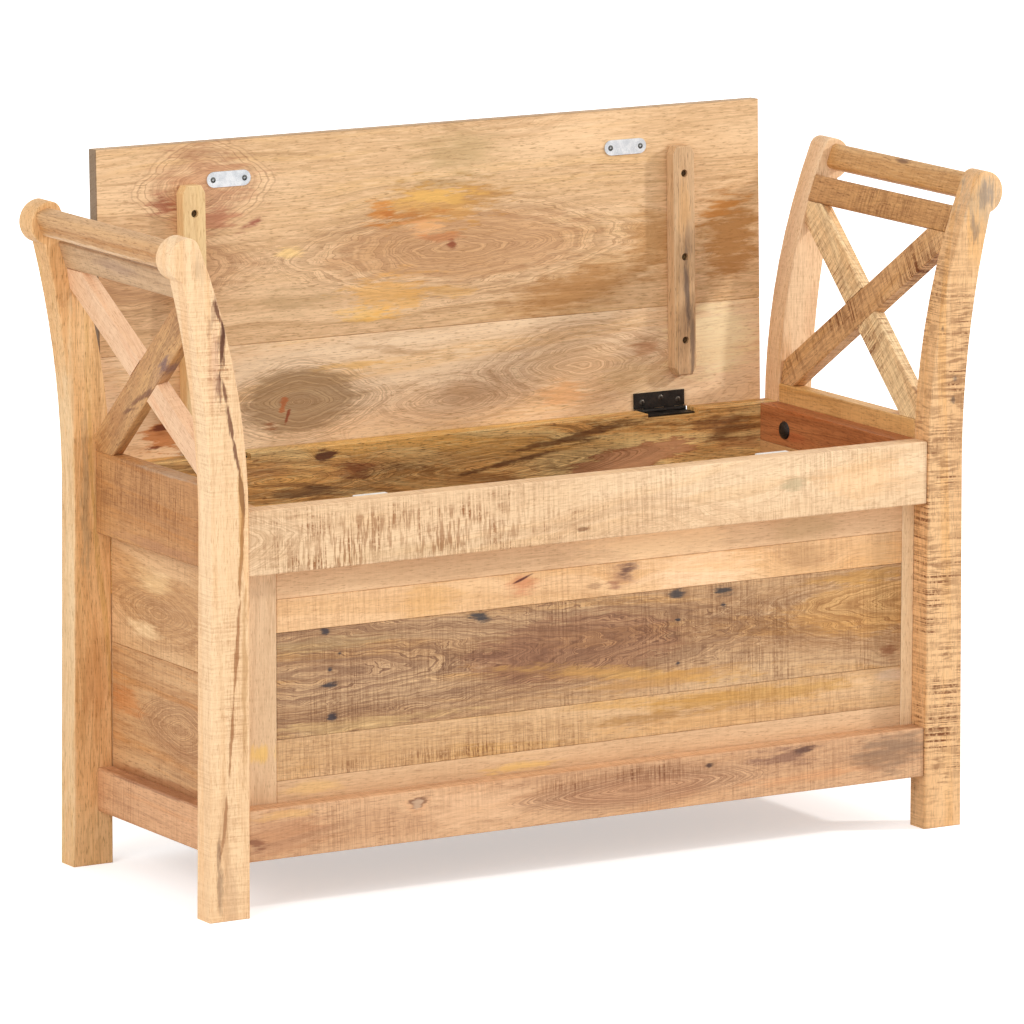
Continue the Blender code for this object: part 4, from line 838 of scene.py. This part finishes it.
def make_screw(name, place, outwards, size, finish, body):
    """A low domed head with a cross recess, standing a little out of its seat."""
    radius, rise = size
    mesh_data = bmesh.new()
    rings = []
    for share, height in ((1.0, -SCREW_SEAT), (1.0, 0.0), (0.86, rise * 0.6), (0.62, rise)):
        ring = []
        for step in range(SCREW_STEPS):
            angle = math.tau * step / SCREW_STEPS
            ring.append(mesh_data.verts.new((
                radius * share * math.cos(angle), radius * share * math.sin(angle), height)))
        rings.append(ring)
    mesh_data.faces.new(list(reversed(rings[0])))
    for ring, following in zip(rings, rings[1:]):
        for step in range(SCREW_STEPS):
            after = (step + 1) % SCREW_STEPS
            mesh_data.faces.new((ring[step], ring[after], following[after], following[step]))
    long, short = radius * 0.44, radius * 0.12
    cross = [
        (long, -short), (long, short), (short, short), (short, long), (-short, long), (-short, short),
        (-long, short), (-long, -short), (-short, -short), (-short, -long), (short, -long),
        (short, -short),
    ]
    mouth = [mesh_data.verts.new((x, y, rise)) for x, y in cross]
    floor = [mesh_data.verts.new((x * 0.8, y * 0.8, rise - CROSS_DEPTH)) for x, y in cross]
    top = rings[-1]
    edges = [mesh_data.edges.get((top[i], top[(i + 1) % SCREW_STEPS])) for i in range(SCREW_STEPS)]
    for corner in range(len(cross)):
        after = (corner + 1) % len(cross)
        edges.append(mesh_data.edges.new((mouth[corner], mouth[after])))
        mesh_data.faces.new((mouth[corner], mouth[after], floor[after], floor[corner]))
    mesh_data.faces.new(floor)
    bmesh.ops.triangle_fill(mesh_data, edges=edges, use_beauty=True)
    bmesh.ops.recalc_face_normals(mesh_data, faces=mesh_data.faces)
    mesh = bpy.data.meshes.new(name)
    mesh_data.to_mesh(mesh)
    mesh_data.free()
    mesh.shade_smooth()
    mesh.set_sharp_from_angle(angle=math.radians(35))
    mesh.materials.append(finish)
    piece = bpy.data.objects.new(name, mesh)
    bpy.context.scene.collection.objects.link(piece)
    turn = Vector((0, 0, 1)).rotation_difference(Vector(outwards)).to_matrix().to_4x4()
    piece.matrix_world = Matrix.Translation(place) @ turn
    bpy.context.view_layer.update()
    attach(piece, body)


def dress_fittings():
    black = fitting_material("black_steel", (52, 46, 40), (26, 22, 19), 0.5, 0.48)
    bolt_black = fitting_material("black_bolt", (64, 60, 58), (30, 27, 26), 0.6, 0.42)
    zinc = fitting_material("zinc_plate", (238, 240, 242), (206, 211, 216), 0.45, 0.36)
    old_brass = fitting_material("old_brass", (120, 96, 62), (62, 46, 30), 0.7, 0.45)
    plastic = fitting_material("white_plastic", (240, 240, 236), (226, 226, 220), 0.0, 0.42)
    worn = fitting_material("worn_screw", (104, 96, 86), (44, 40, 36), 0.6, 0.4)
    dull = fitting_material("dull_screw", (112, 112, 108), (52, 52, 50), 0.7, 0.42)
    for side in ("left", "right"):
        for piece in ("box_hinge_leaf", "lid_hinge_leaf", "hinge_pin"):
            dress(f"{side}_{piece}", black)
        for level in ("upper", "lower"):
            for row in ("front", "rear"):
                dress(f"{side}_{level}_{row}_bolt", bolt_black)
        for place in ("front", "middle", "rear"):
            dress(f"{side}_batten_{place}_screw", old_brass)
        dress(f"{side}_strike_plate", zinc)
        dress(f"{side}_catch", plastic)

    under_lid = Matrix.Rotation(-OPEN, 3, "X") @ Vector((0, 0, -1))
    upwards = (0, 0, 1)
    leaf_screws = (("first", -0.024, 0.0105), ("second", 0.002, 0.0145), ("third", 0.026, 0.0105))
    plate_screws = (("first", -0.0205), ("second", 0.0205))
    for side, sign in (("left", -1), ("right", 1)):
        middle = sign * HINGE_OFFSET
        for word, shift, from_pin in leaf_screws:
            place = lid_place(middle + shift, from_pin, LEAF_FACE)
            make_screw(f"{side}_lid_leaf_{word}_screw", place, under_lid, LEAF_SCREW, worn, "lid")
            place = (middle - shift, HINGE_Y - from_pin - BOX_LEAF_SETBACK, HINGE_HEIGHT - BOX_LEAF_DROP)
            make_screw(f"{side}_box_leaf_{word}_screw", place, upwards, LEAF_SCREW, worn, "frame")
        middle = sign * STRIKE_OFFSET + STRIKE_SHIFT
        for word, shift in plate_screws:
            place = lid_place(middle + shift, STRIKE_PLACE, PLATE_FACE)
            make_screw(f"{side}_plate_{word}_screw", place, under_lid, PLATE_SCREW, dull, "lid")


def look_from(place, yaw, pitch, roll):
    """Turns for a camera that looks yaw degrees right of +Y, pitch down, then rolls."""
    yaw, pitch, roll = (math.radians(angle) for angle in (yaw, pitch, roll))
    forward = Vector((math.sin(yaw) * math.cos(pitch), math.cos(yaw) * math.cos(pitch), -math.sin(pitch)))
    right = Vector((math.cos(yaw), -math.sin(yaw), 0.0))
    up = right.cross(forward)
    right, up = (
        right * math.cos(roll) + up * math.sin(roll),
        up * math.cos(roll) - right * math.sin(roll),
    )
    turn = Matrix((right, up, -forward)).transposed().to_4x4()
    return Matrix.Translation(place) @ turn


def make_camera():
    data = bpy.data.cameras.new("camera")
    data.lens = 289.36
    data.sensor_width = 36.0
    data.clip_end = 100.0
    camera = bpy.data.objects.new("camera", data)
    bpy.context.scene.collection.objects.link(camera)
    camera.matrix_world = look_from((-4.773, -7.7981 + FRONT, 2.1055), 30.866, 10.459, 0.149)
    bpy.context.scene.camera = camera


def make_lamp(name, place, target, size, power):
    data = bpy.data.lights.new(name, "AREA")
    data.shape = "DISK"
    data.size = size
    data.energy = power
    lamp = bpy.data.objects.new(name, data)
    bpy.context.scene.collection.objects.link(lamp)
    direction = Vector(target) - Vector(place)
    lamp.matrix_world = Matrix.Translation(place) @ direction.to_track_quat("-Z", "Y").to_matrix().to_4x4()


def make_studio():
    scene = bpy.context.scene
    scene.view_settings.view_transform = "Standard"
    world = bpy.data.worlds.new("studio")
    world.use_nodes = True
    scene.world = world
    tree = Tree(world.node_tree)
    background = tree.nodes["Background"]
    path = tree.add("ShaderNodeLightPath").outputs
    seen = tree.math("MAXIMUM", path["Is Camera Ray"], path["Is Glossy Ray"])
    seen = tree.math("MAXIMUM", seen, path["Is Transmission Ray"])
    background.inputs["Color"].default_value = (1.0, 1.0, 1.0, 1.0)
    ambient = 0.76
    tree.set(background.inputs["Strength"], tree.math("MULTIPLY_ADD", seen, 1 - ambient, ambient))

    mesh = bpy.data.meshes.new("floor")
    reach = 30.0
    corners = [(-reach, -reach, 0), (reach, -reach, 0), (reach, reach, 0), (-reach, reach, 0)]
    mesh.from_pydata(corners, [], [(0, 1, 2, 3)])
    floor = bpy.data.objects.new("floor", mesh)
    scene.collection.objects.link(floor)
    finish = bpy.data.materials.new("pale_floor")
    finish.use_nodes = True
    tree = Tree(finish.node_tree)
    shader = tree.nodes["Principled BSDF"]
    here = tree.add("ShaderNodeTexCoord").outputs["Object"]
    dust = tree.noise(tree.vector("MULTIPLY", here, (40.0, 40.0, 40.0)), 3.0)
    tree.set(shader.inputs["Base Color"], tree.mix(dust, (0.93, 0.93, 0.93, 1.0), (0.95, 0.95, 0.95, 1.0)))
    shader.inputs["Roughness"].default_value = 0.9
    shader.inputs["Specular IOR Level"].default_value = 0.0
    seen = tree.add("ShaderNodeLightPath").outputs["Is Camera Ray"]
    shader.inputs["Emission Color"].default_value = (1.0, 1.0, 1.0, 1.0)
    # White to the camera far from the bench, and less so near it, where its shadow stays
    far = tree.ease(tree.vector("LENGTH", here, output=1), 0.5, 1.8)
    near_glow = 0.45
    glow = tree.math("MULTIPLY_ADD", far, 1 - near_glow, near_glow)
    tree.set(shader.inputs["Emission Strength"], tree.times(seen, glow))
    mesh.materials.append(finish)
    make_lamp("key", (4.0, -1.95, 2.5), (0.1, 0.0, 0.45), 0.4, 105.0)
    make_lamp("fill", (-4.0, -2.0, 2.6), (0.0, 0.0, 0.40), 2.4, 74.0)


dress_lid()
dress_front()
dress_panel()
dress_box()
dress_legs()
dress_end_frames()
dress_fittings()
make_camera()
make_studio()
